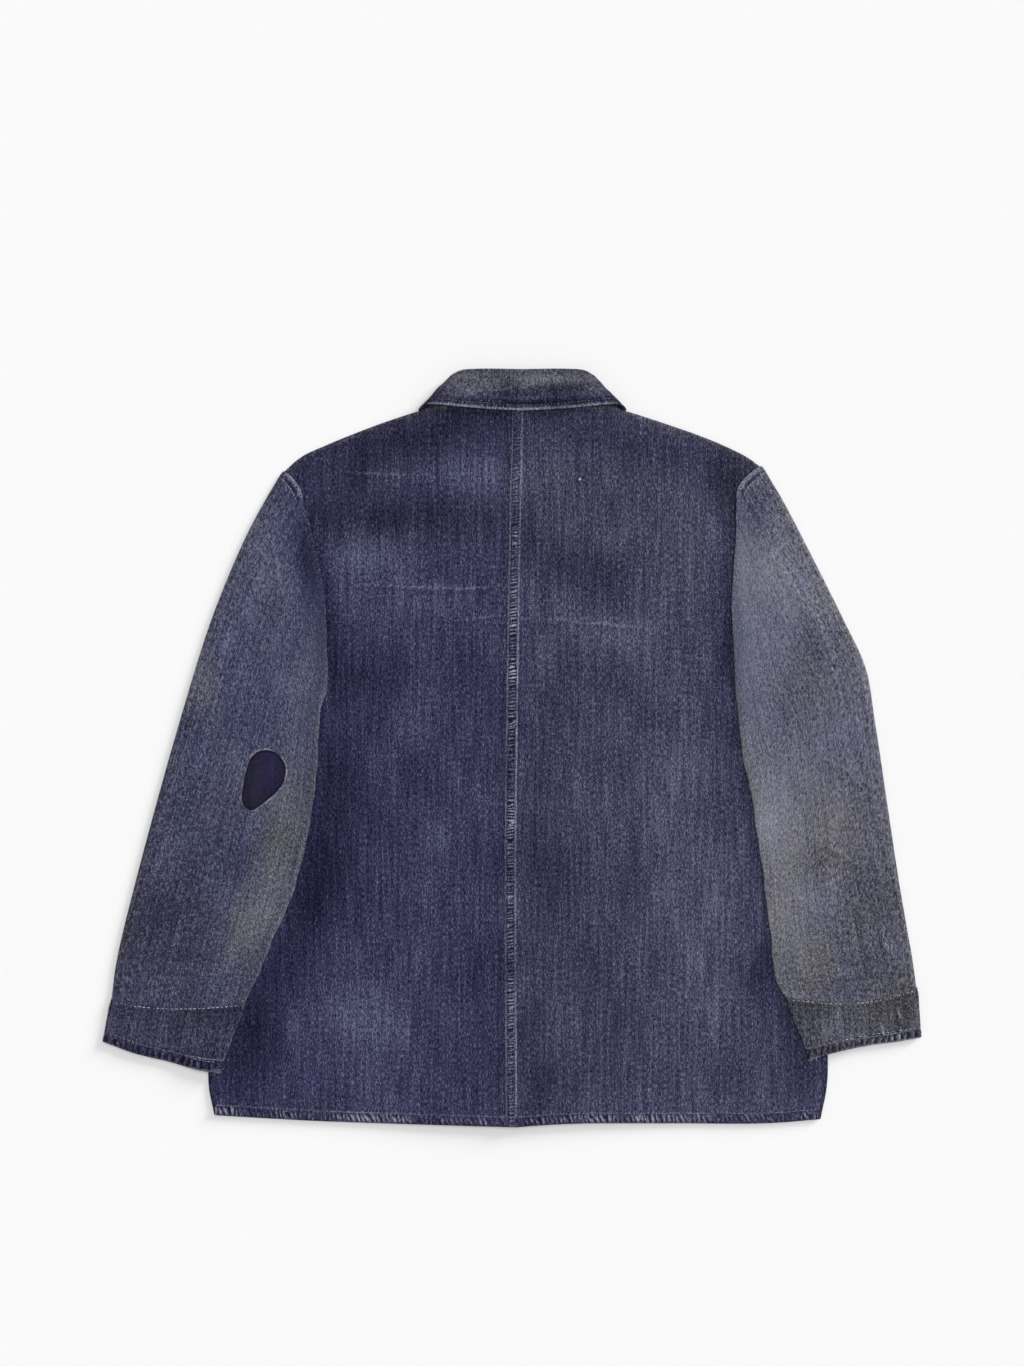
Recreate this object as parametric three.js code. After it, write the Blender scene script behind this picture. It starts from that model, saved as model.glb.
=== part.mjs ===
// A faded denim work jacket, laid flat with its back up: two back halves with a felled seam between them,
// two lapped fronts below, one-piece sleeves folded down over the sides, band cuffs, a turn-down collar,
// a small mended patch on one sleeve and five plain buttons underneath.
// Millimetres. +Z is up from the surface that it lies on, +Y is towards the collar.
import * as THREE from "three";

// Cloth
const CLOTH = 1.2; // one thickness of denim
const GAP = 0.3; // clear space at a seam and between layers
const HEM = { depth: 11, cloth: 2.0 }; // turned edge along the bottom
const FELL = { width: 11, level: 11.6, foot: 18, lift: 0.9 }; // felled seam down the back, from its edge
const CUFF_CLOTH = 2.0; // doubled cloth
const COLLAR_CLOTH = 2.0; // doubled cloth
const PATCH_CLOTH = 1.0;

// Heights that the layers take up
const CROWN = { height: 4.0, aside: [14, 190], neck: [275, 335], neckDrop: 0.68 }; // back over the fronts
const NECK_LIFT = { height: COLLAR_CLOTH + GAP, aside: [112, 175], up: [150, 205] }; // over collar points
const BODY_GAP = 0.5; // between front and back where they lie on each other
const BODY_EDGE = 2 * CLOTH + BODY_GAP; // front and back together at the side seams
const RIDE = BODY_EDGE + 0.7; // height of a sleeve's underside where it lies on the body
const RIDE_RAMP = [9, 36]; // where a sleeve comes down beside the body
const SLEEVE_ROOM = { armhole: 0.9, loose: 2.6, riding: 0.8, opens: 0.12 }; // between a sleeve's two layers
const CUFF_ROOM = { loose: 1.6, riding: 0.8 };
const FOLD_ROLL = 6; // width over which a sleeve's folded edge rounds over

// Closing at the middle of the fronts
const LAP = { reach: 12, ramp: [20, 60] }; // how far each front passes the middle, and comes down beyond
const BUTTON = { radius: 9, thickness: 2.0, sides: 24, count: 5, first: 215, pitch: 110 };
const BUTTON_HOLE = { radius: 1.0, spread: 2.4, sides: 6, count: 4 };
// The fronts ride over the row of buttons, and come down again above the hem and below the neck.
const PLACKET = { height: BUTTON.thickness + GAP, flat: 30, foot: 75, hem: [-330, -250], neck: [228, 262] };
const SEAM_SHIFT = 1.6; // sideways from the body's armhole edge to the sleeve
const CUFF_SHIFT = 0.9; // from the sleeve's end to the cuff

// Colours
const INK = {
  body: 0x42415c, sleeve: 0x57596c, cuff: 0x4a4960, collar: 0x4c4b5a, patch: 0x272440, horn: 0x3a332d,
};

// Outlines seen from above, right being the viewer's right
const FELL_LINE = [[10.5, 345], [7, 190], [4, -8], [3, -120], [4, -378]];
const LEFT = {
  hem: [[4, -378], [-54, -376.5], [-188, -372.5], [-297, -366.5]],
  side: [[-297, -366.5], [-303, -330], [-284, -153], [-262, 35]],
  shoulder: [[-211, 289.5], [-186, 301.5], [-138, 319.5], [-105, 330.2], [-92, 334], [-82, 339.2]],
  sleeveSeam: [[-230, 274], [-216.5, 257.5], [-207.5, 232], [-197.5, 192], [-190.5, 157], [-186, 113]],
  sleeveOuter: [
    [-230, 274], [-246, 247], [-267, 207], [-300, 127], [-337, 7], [-370, -113], [-393, -206], [-401, -254],
  ],
  sleeveInner: [
    [-186, 113], [-185, 62], [-191, 38], [-197, -43], [-202, -73], [-215, -133], [-235, -183], [-267, -256.5],
  ],
  cuffSeam: [[-401, -254], [-371, -259], [-342, -261], [-305, -260], [-267, -256.5]],
  cuffEdge: [[-408, -293], [-376, -304.5], [-343, -312.5], [-310, -321.5], [-293, -323.5]],
};
const RIGHT = {
  hem: [[4, -378], [24, -376.5], [63, -374.5], [160, -374.5], [254, -374.5], [308, -370.5]],
  side: [[308, -370.5], [315, -328], [303, -153], [285, 35]],
  shoulder: [[235, 289.5], [211, 301.5], [181, 313.5], [126, 330.2], [113, 334], [103.5, 339.2]],
  sleeveSeam: [[251, 279], [230, 257.5], [226, 207], [222.5, 157], [221, 113]],
  sleeveOuter: [
    [251, 279], [270, 247], [291, 207], [331, 127], [353, 79],
    [362, 27], [374, -53], [386, -133], [405, -242],
  ],
  sleeveInner: [[221, 113], [224, 57], [230, -3], [240, -53], [255, -158], [265, -236], [274, -251]],
  cuffSeam: [[405, -242], [364, -253], [333, -256], [300, -254], [274, -251]],
  cuffEdge: [[408, -288.5], [385, -292.5], [356, -296.5], [317, -304.5], [298, -311]],
};
const NECK = { middle: 10.5, back: 344.1, frontDrop: 264.5, clear: [1.5, 1.9] };
const COLLAR = {
  seamBack: [[0, 345], [50, 345.2], [87.5, 343.2]],
  seamFront: [[87.5, 343.2], [78, 312], [47.5, 281], [5.5, 267.6]],
  foldBack: [[0, 376.6], [45, 376.9], [62, 375.3], [70, 370.4]],
  foldFront: [[70, 370.4], [61, 343], [35, 303], [9.5, 276]],
  edgeBack: [[0, 336.7], [31, 338], [62, 339.7], [89, 342], [97, 341], [101, 338.4]],
  edgeFront: [[101, 338.4], [98, 318], [87, 280], [62, 226]],
  standBack: 7.6, fallBack: 10.0, standFront: 3.3, fallFront: 1.0, // heights of the middle of the cloth
  aside: [0.84, 0.78], turn: 3, standRoll: 3, fallRoll: 3, // how stand and fall part where they turn under
};
const PATCH_EDGE = [
  [-248, -2.5], [-235, -6], [-226.5, -18], [-228, -34], [-247, -54.5], [-260, -62], [-268, -56],
  [-269, -44], [-259, -9],
];

const PATCH_RINGS = [0.04, 0.4, 0.75, 1]; // shares of the way out to its edge
const PATCH_SIDES = 28;

// Soft folds: a ridge along a straight line, highest in its middle
const BACK_FOLDS = [
  { from: [-150, 158], to: [20, 164], width: 24, height: 0.9 },
  { from: [-60, 128], to: [150, 120], width: 26, height: 0.9 },
  { from: [-190, 272], to: [-70, 276], width: 24, height: 0.7 },
  { from: [-120, -80], to: [-60, -300], width: 40, height: 0.8 },
  { from: [120, -60], to: [90, -310], width: 44, height: 0.8 },
  { from: [150, 100], to: [205, 60], width: 26, height: 0.8 },
];
const SLEEVE_FOLDS = [
  { from: [-262, 190], to: [-225, 90], width: 26, height: 1.0 },
  { from: [-325, 20], to: [-225, 56], width: 24, height: 1.2 },
  { from: [-350, -120], to: [-250, -90], width: 28, height: 1.0 },
  { from: [-375, -215], to: [-290, -180], width: 24, height: 0.9 },
  { from: [263, 190], to: [320, 105], width: 24, height: 1.1 },
  { from: [300, 0], to: [362, -24], width: 26, height: 1.2 },
  { from: [285, -70], to: [360, -110], width: 28, height: 1.0 },
  { from: [300, -205], to: [390, -210], width: 24, height: 0.9 },
];

const { smoothstep, lerp, clamp } = THREE.MathUtils;

// A smooth curve through points in plan, walked by its length from 0 to 1.
function curveThrough(points) {
  const curve = new THREE.CatmullRomCurve3(
    points.map(([x, y]) => new THREE.Vector3(x, y, 0)), false, "centripetal",
  );
  return (t) => curve.getPointAt(t);
}

// Several curves walked one after the other, each by its share of the length.
function joined(...lists) {
  const path = new THREE.CurvePath();
  for (const points of lists)
    path.add(new THREE.CatmullRomCurve3(
      points.map(([x, y]) => new THREE.Vector3(x, y, 0)), false, "centripetal",
    ));
  return (t) => path.getPointAt(t);
}

// A patch between four edges: a and b run across, c and d run along from a to b.
function between(a, b, c, d) {
  const corners = [a(0), a(1), b(0), b(1)];
  return (u, v) => {
    const point = a(u).multiplyScalar(1 - v).addScaledVector(b(u), v);
    point.addScaledVector(c(v), 1 - u).addScaledVector(d(v), u);
    const shares = [(1 - u) * (1 - v), u * (1 - v), (1 - u) * v, u * v];
    corners.forEach((corner, i) => point.addScaledVector(corner, -shares[i]));
    return point;
  };
}

// Height of the soft folds over a point.
function foldHeight(folds, x, y) {
  let height = 0;
  for (const { from, to, width, height: top } of folds) {
    const along = new THREE.Vector2(to[0] - from[0], to[1] - from[1]);
    const offset = new THREE.Vector2(x - from[0], y - from[1]);
    const share = clamp(offset.dot(along) / along.lengthSq(), 0, 1);
    const distance = offset.addScaledVector(along, -share).length();
    const taper = Math.sin(Math.PI * lerp(0.1, 0.9, share));
    height += top * taper * (1 - smoothstep(distance, 0, width));
  }
  return height;
}

// One closed wall from two grids of points with the same rows and columns. A ring's columns meet again.
function wallSolid(outer, inner, ring = false) {
  const rows = outer.length;
  const columns = outer[0].length;
  const positions = [...outer, ...inner].flat().flatMap((p) => [p.x, p.y, p.z]);
  const at = (side, i, j) => side * rows * columns + i * columns + (j % columns);
  const index = [];
  const quad = (a, b, c, d) => index.push(a, b, c, a, c, d);
  const lastColumn = ring ? columns : columns - 1;
  for (let i = 0; i < rows - 1; i++)
    for (let j = 0; j < lastColumn; j++) {
      quad(at(0, i, j), at(0, i, j + 1), at(0, i + 1, j + 1), at(0, i + 1, j));
      quad(at(1, i, j), at(1, i + 1, j), at(1, i + 1, j + 1), at(1, i, j + 1));
    }
  for (let j = 0; j < lastColumn; j++) {
    quad(at(0, 0, j), at(1, 0, j), at(1, 0, j + 1), at(0, 0, j + 1));
    quad(at(0, rows - 1, j), at(0, rows - 1, j + 1), at(1, rows - 1, j + 1), at(1, rows - 1, j));
  }
  if (!ring)
    for (let i = 0; i < rows - 1; i++) {
      quad(at(0, i, 0), at(0, i + 1, 0), at(1, i + 1, 0), at(1, i, 0));
      const end = columns - 1;
      quad(at(0, i, end), at(1, i, end), at(1, i + 1, end), at(0, i + 1, end));
    }
  if (signedVolume(positions, index) < 0)
    for (let i = 0; i < index.length; i += 3)
      [index[i + 1], index[i + 2]] = [index[i + 2], index[i + 1]];
  const geometry = new THREE.BufferGeometry();
  geometry.setAttribute("position", new THREE.Float32BufferAttribute(positions, 3));
  geometry.setIndex(index);
  geometry.computeVertexNormals();
  return geometry;
}

function signedVolume(positions, index) {
  const corner = (i) => new THREE.Vector3().fromArray(positions, 3 * index[i]);
  let volume = 0;
  for (let i = 0; i < index.length; i += 3)
    volume += corner(i).dot(corner(i + 1).cross(corner(i + 2))) / 6;
  return volume;
}

// The two faces of a cloth whose middle is a grid of points, moved out along its normals to each side.
function thicken(middle, thickness, ring) {
  const rows = middle.length;
  const columns = middle[0].length;
  const wrap = (j) => (ring ? (j + columns) % columns : clamp(j, 0, columns - 1));
  const moved = (side) => middle.map((row, i) => row.map((point, j) => {
    const around = row[wrap(j + 1)].clone().sub(row[wrap(j - 1)]);
    const along = middle[Math.min(i + 1, rows - 1)][j].clone().sub(middle[Math.max(i - 1, 0)][j]);
    const normal = around.cross(along).normalize();
    const face = point.clone().addScaledVector(normal, side * thickness / 2);
    face.z = Math.max(face.z, 0);
    return face;
  }));
  return [moved(1), moved(-1)];
}

// Even steps from one value to another, both included.
const steps = (from, to, count) => Array.from({ length: count + 1 }, (_, i) => lerp(from, to, i / count));

// Body

const fellLine = curveThrough(FELL_LINE);
const bodyTop = FELL_LINE[0][1];
const bodyFoot = FELL_LINE.at(-1)[1];
const middleAt = (y) => lerp(FELL_LINE.at(-1)[0], NECK.middle, (y - bodyFoot) / (bodyTop - bodyFoot));
const fromMiddle = (x, y) => Math.abs(x - middleAt(y));

// Where the felled seam's stitched edge lies at a height up the back.
function fellAt(y) {
  let near = 0;
  let far = 1;
  while (far - near > 1e-4) {
    const half = (near + far) / 2;
    if (fellLine(half).y > y) near = half;
    else far = half;
  }
  return fellLine(near).x;
}

const BUTTON_ROWS = steps(BUTTON.first, BUTTON.first - BUTTON.pitch * (BUTTON.count - 1), BUTTON.count - 1);

function placket(x, y) {
  const along = smoothstep(y, ...PLACKET.hem) * (1 - smoothstep(y, ...PLACKET.neck));
  return PLACKET.height * along * (1 - smoothstep(fromMiddle(x, y), PLACKET.flat, PLACKET.foot));
}

// The lift that the collar's points give to the fronts, and through them to the back.
function neckLift(x, y) {
  const across = 1 - smoothstep(fromMiddle(x, y), ...NECK_LIFT.aside);
  return NECK_LIFT.height * smoothstep(y, ...NECK_LIFT.up) * across;
}

// The rise of the back over the lapped fronts, lower beside the neck, where no front lies below it.
function crown(x, y) {
  const nearNeck = 1 - CROWN.neckDrop * smoothstep(y, ...CROWN.neck);
  return CROWN.height * nearNeck * (1 - smoothstep(fromMiddle(x, y), ...CROWN.aside));
}

const frontLeftLow = (x, y) => neckLift(x, y) + placket(x, y);

function frontRightLow(x, y) {
  const beyondLap = x - middleAt(y) - LAP.reach;
  const aboveHem = smoothstep(y, bodyFoot + 2 * HEM.depth, bodyFoot + 5 * HEM.depth);
  const lift = lerp(HEM.cloth, CLOTH, aboveHem) + GAP;
  return frontLeftLow(x, y) + lift * (1 - smoothstep(beyondLap, ...LAP.ramp));
}

function backRightLow(x, y, wall) {
  return wall + BODY_GAP + neckLift(x, y) + crown(x, y) + foldHeight(BACK_FOLDS, x, y);
}

function backLeftLow(x, y, wall) {
  const edge = fellAt(y);
  return backRightLow(x, y, wall) + (wall + FELL.lift) * smoothstep(x, edge - FELL.foot, edge - FELL.level);
}

// Shares across a panel from its middle edge to the side, and up it from the hem to the neck and shoulder.
const EDGE_SHARES = [0, 0.036, 0.061];
const HEM_SHARES = [0, 0.0148, 0.0172];
const BACK_GRID = {
  across: [...EDGE_SHARES, ...steps(0.13, 1, 11)],
  up: [...HEM_SHARES, ...steps(0.05, 0.75, 17), ...steps(0.78, 1, 9)],
};
const FRONT_GRID = {
  across: [...EDGE_SHARES, ...steps(0.1, 0.44, 5), ...steps(0.55, 1, 4)],
  up: [...HEM_SHARES, ...steps(0.06, 0.75, 11), ...steps(0.78, 1, 9)],
};

function panelSolid({ hem, top, middle, side, low, grid }) {
  const plan = between(hem, top, middle, side);
  const faces = [0, 1].map((upper) => grid.up.map((v) => grid.across.map((u) => {
    const wall = v <= HEM_SHARES[1] ? HEM.cloth : CLOTH;
    const { x, y } = plan(u, v);
    return new THREE.Vector3(x, y, low(x, y, wall) + upper * wall);
  })));
  return wallSolid(faces[1], faces[0]);
}

// The body's armhole edge, up from the sleeve's inner fold to the shoulder, just clear of the sleeve.
function armholeOf(side) {
  const towardsMiddle = -Math.sign(side.side[0][0]);
  return side.sleeveSeam.map(([x, y]) => [x + towardsMiddle * SEAM_SHIFT, y]).reverse();
}

// The edges that a back half and a front share.
function outlineOf(side, neck) {
  const armhole = armholeOf(side);
  return {
    top: joined(neck, [...[...side.shoulder].reverse(), armhole.at(-1)]),
    side: joined(side.side, [side.side.at(-1), armhole[0]], armhole),
  };
}

// A half of the back, whose middle edge lies a set distance to the left of the felled seam's stitched edge.
function backHalf(side, inset, low) {
  const middle = FELL_LINE.map(([x, y]) => [x - inset, y]).reverse();
  middle.at(-1)[1] = NECK.back;
  const hem = [middle[0], ...side.hem.slice(1)];
  const neckPoint = side.shoulder.at(-1);
  const neck = [middle.at(-1), [(middle.at(-1)[0] + neckPoint[0]) / 2, NECK.back], neckPoint];
  return panelSolid({
    ...outlineOf(side, neck),
    hem: curveThrough(hem),
    middle: curveThrough(middle),
    low,
    grid: BACK_GRID,
  });
}

// A front, whose middle edge passes the middle of the body by the lap. Sign is -1 on the left.
function frontHalf(side, sign, low) {
  const middle = [bodyFoot + 1, 0, NECK.frontDrop].map((y) => [middleAt(y) - sign * LAP.reach, y]);
  const hem = [middle[0], ...side.hem.slice(2)];
  const [clearX, clearY] = NECK.clear;
  const along = COLLAR.seamFront.map(([x, y]) => [NECK.middle + sign * (x + clearX), y - clearY]).reverse();
  const neckPoint = side.shoulder.at(-1);
  const neck = [middle.at(-1), ...along.slice(0, -1), neckPoint];
  return panelSolid({
    ...outlineOf(side, neck),
    hem: curveThrough(hem),
    middle: curveThrough(middle),
    low,
    grid: FRONT_GRID,
  });
}

// Sleeves and cuffs

// How far a point lies outside the body's edge below the armhole, measured square to that edge.
function outsideBody(side, x, y) {
  const [armpitX, armpitY] = side.side.at(-1);
  const [foldX, foldY] = armholeOf(side)[0];
  const outward = Math.sign(armpitX);
  if (y >= armpitY) {
    const edge = lerp(armpitX, foldX, (y - armpitY) / (foldY - armpitY));
    const slant = Math.cos(Math.atan2(armpitX - foldX, foldY - armpitY));
    return outward * (x - edge) * slant;
  }
  const points = [...side.side].reverse();
  const below = points.findIndex((point) => point[1] <= y);
  const [upper, lower] = [points[below - 1], points[below]];
  return outward * (x - lerp(upper[0], lower[0], (y - upper[1]) / (lower[1] - upper[1])));
}

// 1 where a sleeve lies on the body, 0 where it lies on the surface beside it.
const riding = (side, x, y) => 1 - smoothstep(outsideBody(side, x, y), ...RIDE_RAMP);

const RING_HALF = 12; // steps across each layer of a flattened tube

// A flattened tube between its outer and inner folded edges. room gives the space between its two layers.
function tubeSolid({ start, end, outer, inner, side, cloth, room, folds, stations }) {
  const plan = between(start, end, outer, inner);
  const middle = stations.map((v) => {
    const width = plan(0, v).distanceTo(plan(1, v));
    return steps(0, 2 * Math.PI, 2 * RING_HALF).slice(0, -1).map((angle) => {
      const share = (1 - Math.cos(angle)) / 2;
      const { x, y } = plan(share, v);
      const ride = riding(side, x, y);
      const low = cloth / 2 + RIDE * ride;
      const high = low + cloth + room(v, ride) + foldHeight(folds, x, y);
      const edge = Math.min(share, 1 - share) * width;
      const roll = edge < FOLD_ROLL ? Math.sqrt(1 - (1 - edge / FOLD_ROLL) ** 2) : 1;
      const upper = angle <= Math.PI;
      return new THREE.Vector3(x, y, lerp((low + high) / 2, upper ? high : low, roll));
    });
  });
  const [outside, inside] = thicken(middle, cloth, true);
  return wallSolid(outside, inside, true);
}

function sleeveSolid(side) {
  return tubeSolid({
    start: curveThrough(side.sleeveSeam),
    end: curveThrough(side.cuffSeam),
    outer: curveThrough(side.sleeveOuter),
    inner: curveThrough(side.sleeveInner),
    side,
    cloth: CLOTH,
    room: (v, ride) => {
      const beside = lerp(SLEEVE_ROOM.armhole, SLEEVE_ROOM.loose, smoothstep(v, 0, SLEEVE_ROOM.opens));
      return lerp(beside, SLEEVE_ROOM.riding, ride);
    },
    folds: SLEEVE_FOLDS,
    stations: [0, 0.012, ...steps(0.045, 1, 18)],
  });
}

function cuffSolid(side) {
  const lowered = side.cuffSeam.map(([x, y]) => [x, y - CUFF_SHIFT]);
  return tubeSolid({
    start: curveThrough(lowered),
    end: curveThrough(side.cuffEdge),
    outer: curveThrough([lowered[0], side.cuffEdge[0]]),
    inner: curveThrough([lowered.at(-1), side.cuffEdge.at(-1)]),
    side,
    cloth: CUFF_CLOTH,
    room: (v, ride) => lerp(CUFF_ROOM.loose, CUFF_ROOM.riding, ride),
    folds: [],
    stations: steps(0, 1, 4),
  });
}

// Collar

// Along the neck from the middle of the back round one side to the middle of the front.
const COLLAR_BACK = [0, 0.2, 0.4, 0.58, 0.74, 0.86, 0.93, 0.975, 1];
const COLLAR_FRONT = [0.025, 0.07, 0.16, 0.3, 0.45, 0.6, 0.75, 0.88, 1];
const COLLAR_LEG = [0, 0.34, 0.67, 0.93];

// A ring of the collar: where it runs in plan, and its height over the back and over the front.
function collarRing(back, front, highBack, highFront, roll) {
  const over = curveThrough(back);
  const under = curveThrough(front);
  const turned = (high, distance) => {
    const middle = (highBack + highFront) / 2;
    const share = distance < roll ? Math.sqrt(1 - (1 - distance / roll) ** 2) : 1;
    return lerp(middle, high, share);
  };
  return [
    ...COLLAR_BACK.map((t) => over(t).setZ(turned(highBack, (1 - t) * curveLength(back)))),
    ...COLLAR_FRONT.map((t) => under(t).setZ(turned(highFront, t * curveLength(front)))),
  ];
}

function curveLength(points) {
  return new THREE.CatmullRomCurve3(points.map(([x, y]) => new THREE.Vector3(x, y, 0))).getLength();
}

function collarSolid() {
  const { standBack, fallBack, standFront, fallFront, standRoll, fallRoll, aside, turn } = COLLAR;
  const { seamBack, seamFront, foldBack, foldFront, edgeBack, edgeFront } = COLLAR;
  const seam = collarRing(seamBack, seamFront, standBack, standFront, standRoll);
  const foldStand = collarRing(foldBack, foldFront, standBack, standFront, standRoll);
  const foldFall = collarRing(foldBack, foldFront, fallBack, fallFront, fallRoll);
  const edge = collarRing(edgeBack, edgeFront, fallBack, fallFront, fallRoll);
  const turnAt = COLLAR_BACK.length - 1;
  const half = seam.map((start, i) => {
    const nearTurn = Math.max(0, 1 - Math.abs(i - turnAt) / turn);
    const apart = new THREE.Vector3(...aside, 0).multiplyScalar(nearTurn);
    const stand = COLLAR_LEG.map((t) => start.clone().lerp(foldStand[i], t).sub(apart));
    const fall = COLLAR_LEG.map((t) => edge[i].clone().lerp(foldFall[i], t).add(apart)).reverse();
    const crest = foldStand[i].clone().lerp(foldFall[i], 0.5);
    return [...stand, crest, ...fall];
  });
  const mirror = (row) => row.map((p) => new THREE.Vector3(NECK.middle - p.x, p.y, p.z));
  const place = (row) => row.map((p) => new THREE.Vector3(NECK.middle + p.x, p.y, p.z));
  const middle = [...half.slice(1).reverse().map(mirror), ...half.map(place)];
  const [outside, inside] = thicken(middle, COLLAR_CLOTH, false);
  return wallSolid(outside, inside);
}

// Patch and buttons

// A disc of cloth that follows the top of what it lies on, raised by the gap.
function patchSolid(carrier) {
  const rim = new THREE.CatmullRomCurve3(
    PATCH_EDGE.map(([x, y]) => new THREE.Vector3(x, y, 0)), true, "centripetal",
  ).getSpacedPoints(PATCH_SIDES).slice(0, -1);
  const centre = rim.reduce((sum, p) => sum.add(p), new THREE.Vector3()).divideScalar(rim.length);
  const down = new THREE.Vector3(0, 0, -1);
  const caster = new THREE.Raycaster();
  const target = new THREE.Mesh(carrier);
  const lying = (point) => {
    caster.set(new THREE.Vector3(point.x, point.y, 100), down);
    return point.clone().setZ(caster.intersectObject(target)[0].point.z + GAP);
  };
  const rings = PATCH_RINGS.map((share) => rim.map((p) => lying(centre.clone().lerp(p, share))));
  const upper = rings.map((row) => row.map((p) => p.clone().setZ(p.z + PATCH_CLOTH)));
  return cappedRings([...rings, ...upper.reverse()]);
}

// A closed solid through rings of points, with both ends closed by a fan.
function cappedRings(rings) {
  const count = rings[0].length;
  const centres = [rings[0], rings.at(-1)].map(
    (row) => row.reduce((sum, p) => sum.add(p), new THREE.Vector3()).divideScalar(count),
  );
  const positions = [...rings.flat(), ...centres].flatMap((p) => [p.x, p.y, p.z]);
  const last = (rings.length - 1) * count;
  const hub = rings.length * count;
  const index = [];
  for (let j = 0; j < count; j++) {
    const next = (j + 1) % count;
    index.push(hub, next, j, hub + 1, last + j, last + next);
    for (let i = 0; i < rings.length - 1; i++) {
      const here = i * count;
      const above = here + count;
      index.push(here + j, here + next, above + next, here + j, above + next, above + j);
    }
  }
  if (signedVolume(positions, index) < 0) index.reverse();
  const geometry = new THREE.BufferGeometry();
  geometry.setAttribute("position", new THREE.Float32BufferAttribute(positions, 3));
  geometry.setIndex(index);
  geometry.computeVertexNormals();
  return geometry;
}

// A flat button with four sewing holes.
function buttonSolid() {
  const round = (x, y, radius, sides) => steps(0, 2 * Math.PI, sides).slice(0, -1).map(
    (turn) => new THREE.Vector2(x + radius * Math.cos(turn), y + radius * Math.sin(turn)),
  );
  const face = new THREE.Shape(round(0, 0, BUTTON.radius, BUTTON.sides));
  for (const { x, y } of round(0, 0, BUTTON_HOLE.spread, BUTTON_HOLE.count))
    face.holes.push(new THREE.Path(round(x, y, BUTTON_HOLE.radius, BUTTON_HOLE.sides)));
  return new THREE.ExtrudeGeometry(face, { depth: BUTTON.thickness, bevelEnabled: false });
}

// The whole jacket

const group = new THREE.Group();

function add(name, geometry, color, roughness = 0.9) {
  const material = new THREE.MeshStandardMaterial({ color, roughness, metalness: 0 });
  const mesh = new THREE.Mesh(geometry, material);
  mesh.name = name;
  group.add(mesh);
  return mesh;
}

add("back_left", backHalf(LEFT, 0, backLeftLow), INK.body);
add("back_right", backHalf(RIGHT, FELL.width, backRightLow), INK.body);
add("front_left", frontHalf(LEFT, -1, frontLeftLow), INK.body);
add("front_right", frontHalf(RIGHT, 1, frontRightLow), INK.body);
const sleeveLeft = add("sleeve_left", sleeveSolid(LEFT), INK.sleeve);
add("sleeve_right", sleeveSolid(RIGHT), INK.sleeve);
add("cuff_left", cuffSolid(LEFT), INK.cuff);
add("cuff_right", cuffSolid(RIGHT), INK.cuff);
add("collar", collarSolid(), INK.collar);
add("sleeve_patch", patchSolid(sleeveLeft.geometry), INK.patch);
BUTTON_ROWS.forEach((row, i) => {
  const x = middleAt(row);
  add(`button_${i + 1}`, buttonSolid(), INK.horn, 0.5).position.set(x, row, neckLift(x, row));
});

export default group;
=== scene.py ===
"""A faded denim work jacket, laid flat with its back up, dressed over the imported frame.

Sizes are in millimetres in the frame's own axes, as in the part's source, and become metres where a
mesh is made. X runs to the viewer's right, Y towards the collar and Z up from the surface below.
"""

import logging
import math
from dataclasses import dataclass, field
from enum import Enum
from functools import reduce
from typing import Callable, Iterable, Sequence

import bpy
import numpy as np
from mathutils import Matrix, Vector
from mathutils.bvhtree import BVHTree


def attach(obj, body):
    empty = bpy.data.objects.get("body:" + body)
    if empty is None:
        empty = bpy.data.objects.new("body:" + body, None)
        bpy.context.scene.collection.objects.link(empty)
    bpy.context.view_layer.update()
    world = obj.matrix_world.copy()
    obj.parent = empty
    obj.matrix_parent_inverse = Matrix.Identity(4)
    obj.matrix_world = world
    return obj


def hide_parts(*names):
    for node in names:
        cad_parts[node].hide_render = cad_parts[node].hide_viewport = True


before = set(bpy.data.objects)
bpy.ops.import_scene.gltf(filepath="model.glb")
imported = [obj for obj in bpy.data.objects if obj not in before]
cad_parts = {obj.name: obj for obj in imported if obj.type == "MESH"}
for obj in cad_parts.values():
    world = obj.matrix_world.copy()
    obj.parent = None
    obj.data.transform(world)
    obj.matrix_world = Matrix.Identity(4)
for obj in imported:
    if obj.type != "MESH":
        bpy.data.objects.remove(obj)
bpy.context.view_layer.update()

MM = 0.001
LEAST_HEIGHT = 0.02  # of any point over the surface below
LOG = logging.getLogger("jacket")
Points = Sequence[tuple[float, float]]
Grid, Rng = np.ndarray, np.random.Generator
Material, Thing, Socket = bpy.types.Material, bpy.types.Object, bpy.types.NodeSocket


def ease(x: Grid, low: float, high: float) -> Grid:
    """Return 0 below low, 1 above high and a soft rise between them."""
    t = np.clip((np.asarray(x, float) - low) / (high - low), 0.0, 1.0)
    return t * t * (3.0 - 2.0 * t)


def lerp(a: Grid, b: Grid, t: Grid) -> Grid:
    """Return the value that lies a share t of the way from a to b."""
    return a + (b - a) * t


def bell(x: Grid, width: float) -> Grid:
    """Return 1 where x is 0 and softly less away from it, down to almost nothing at two widths."""
    return np.exp(-((x / width) ** 2))


def strongest(*marks: Grid) -> Grid:
    """Return the strongest of several marks at each point."""
    return reduce(np.maximum, marks)


def unit(v: Grid) -> Grid:
    """Return vectors made one long."""
    return v / np.maximum(np.linalg.norm(v, axis=-1, keepdims=True), 1e-12)


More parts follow.
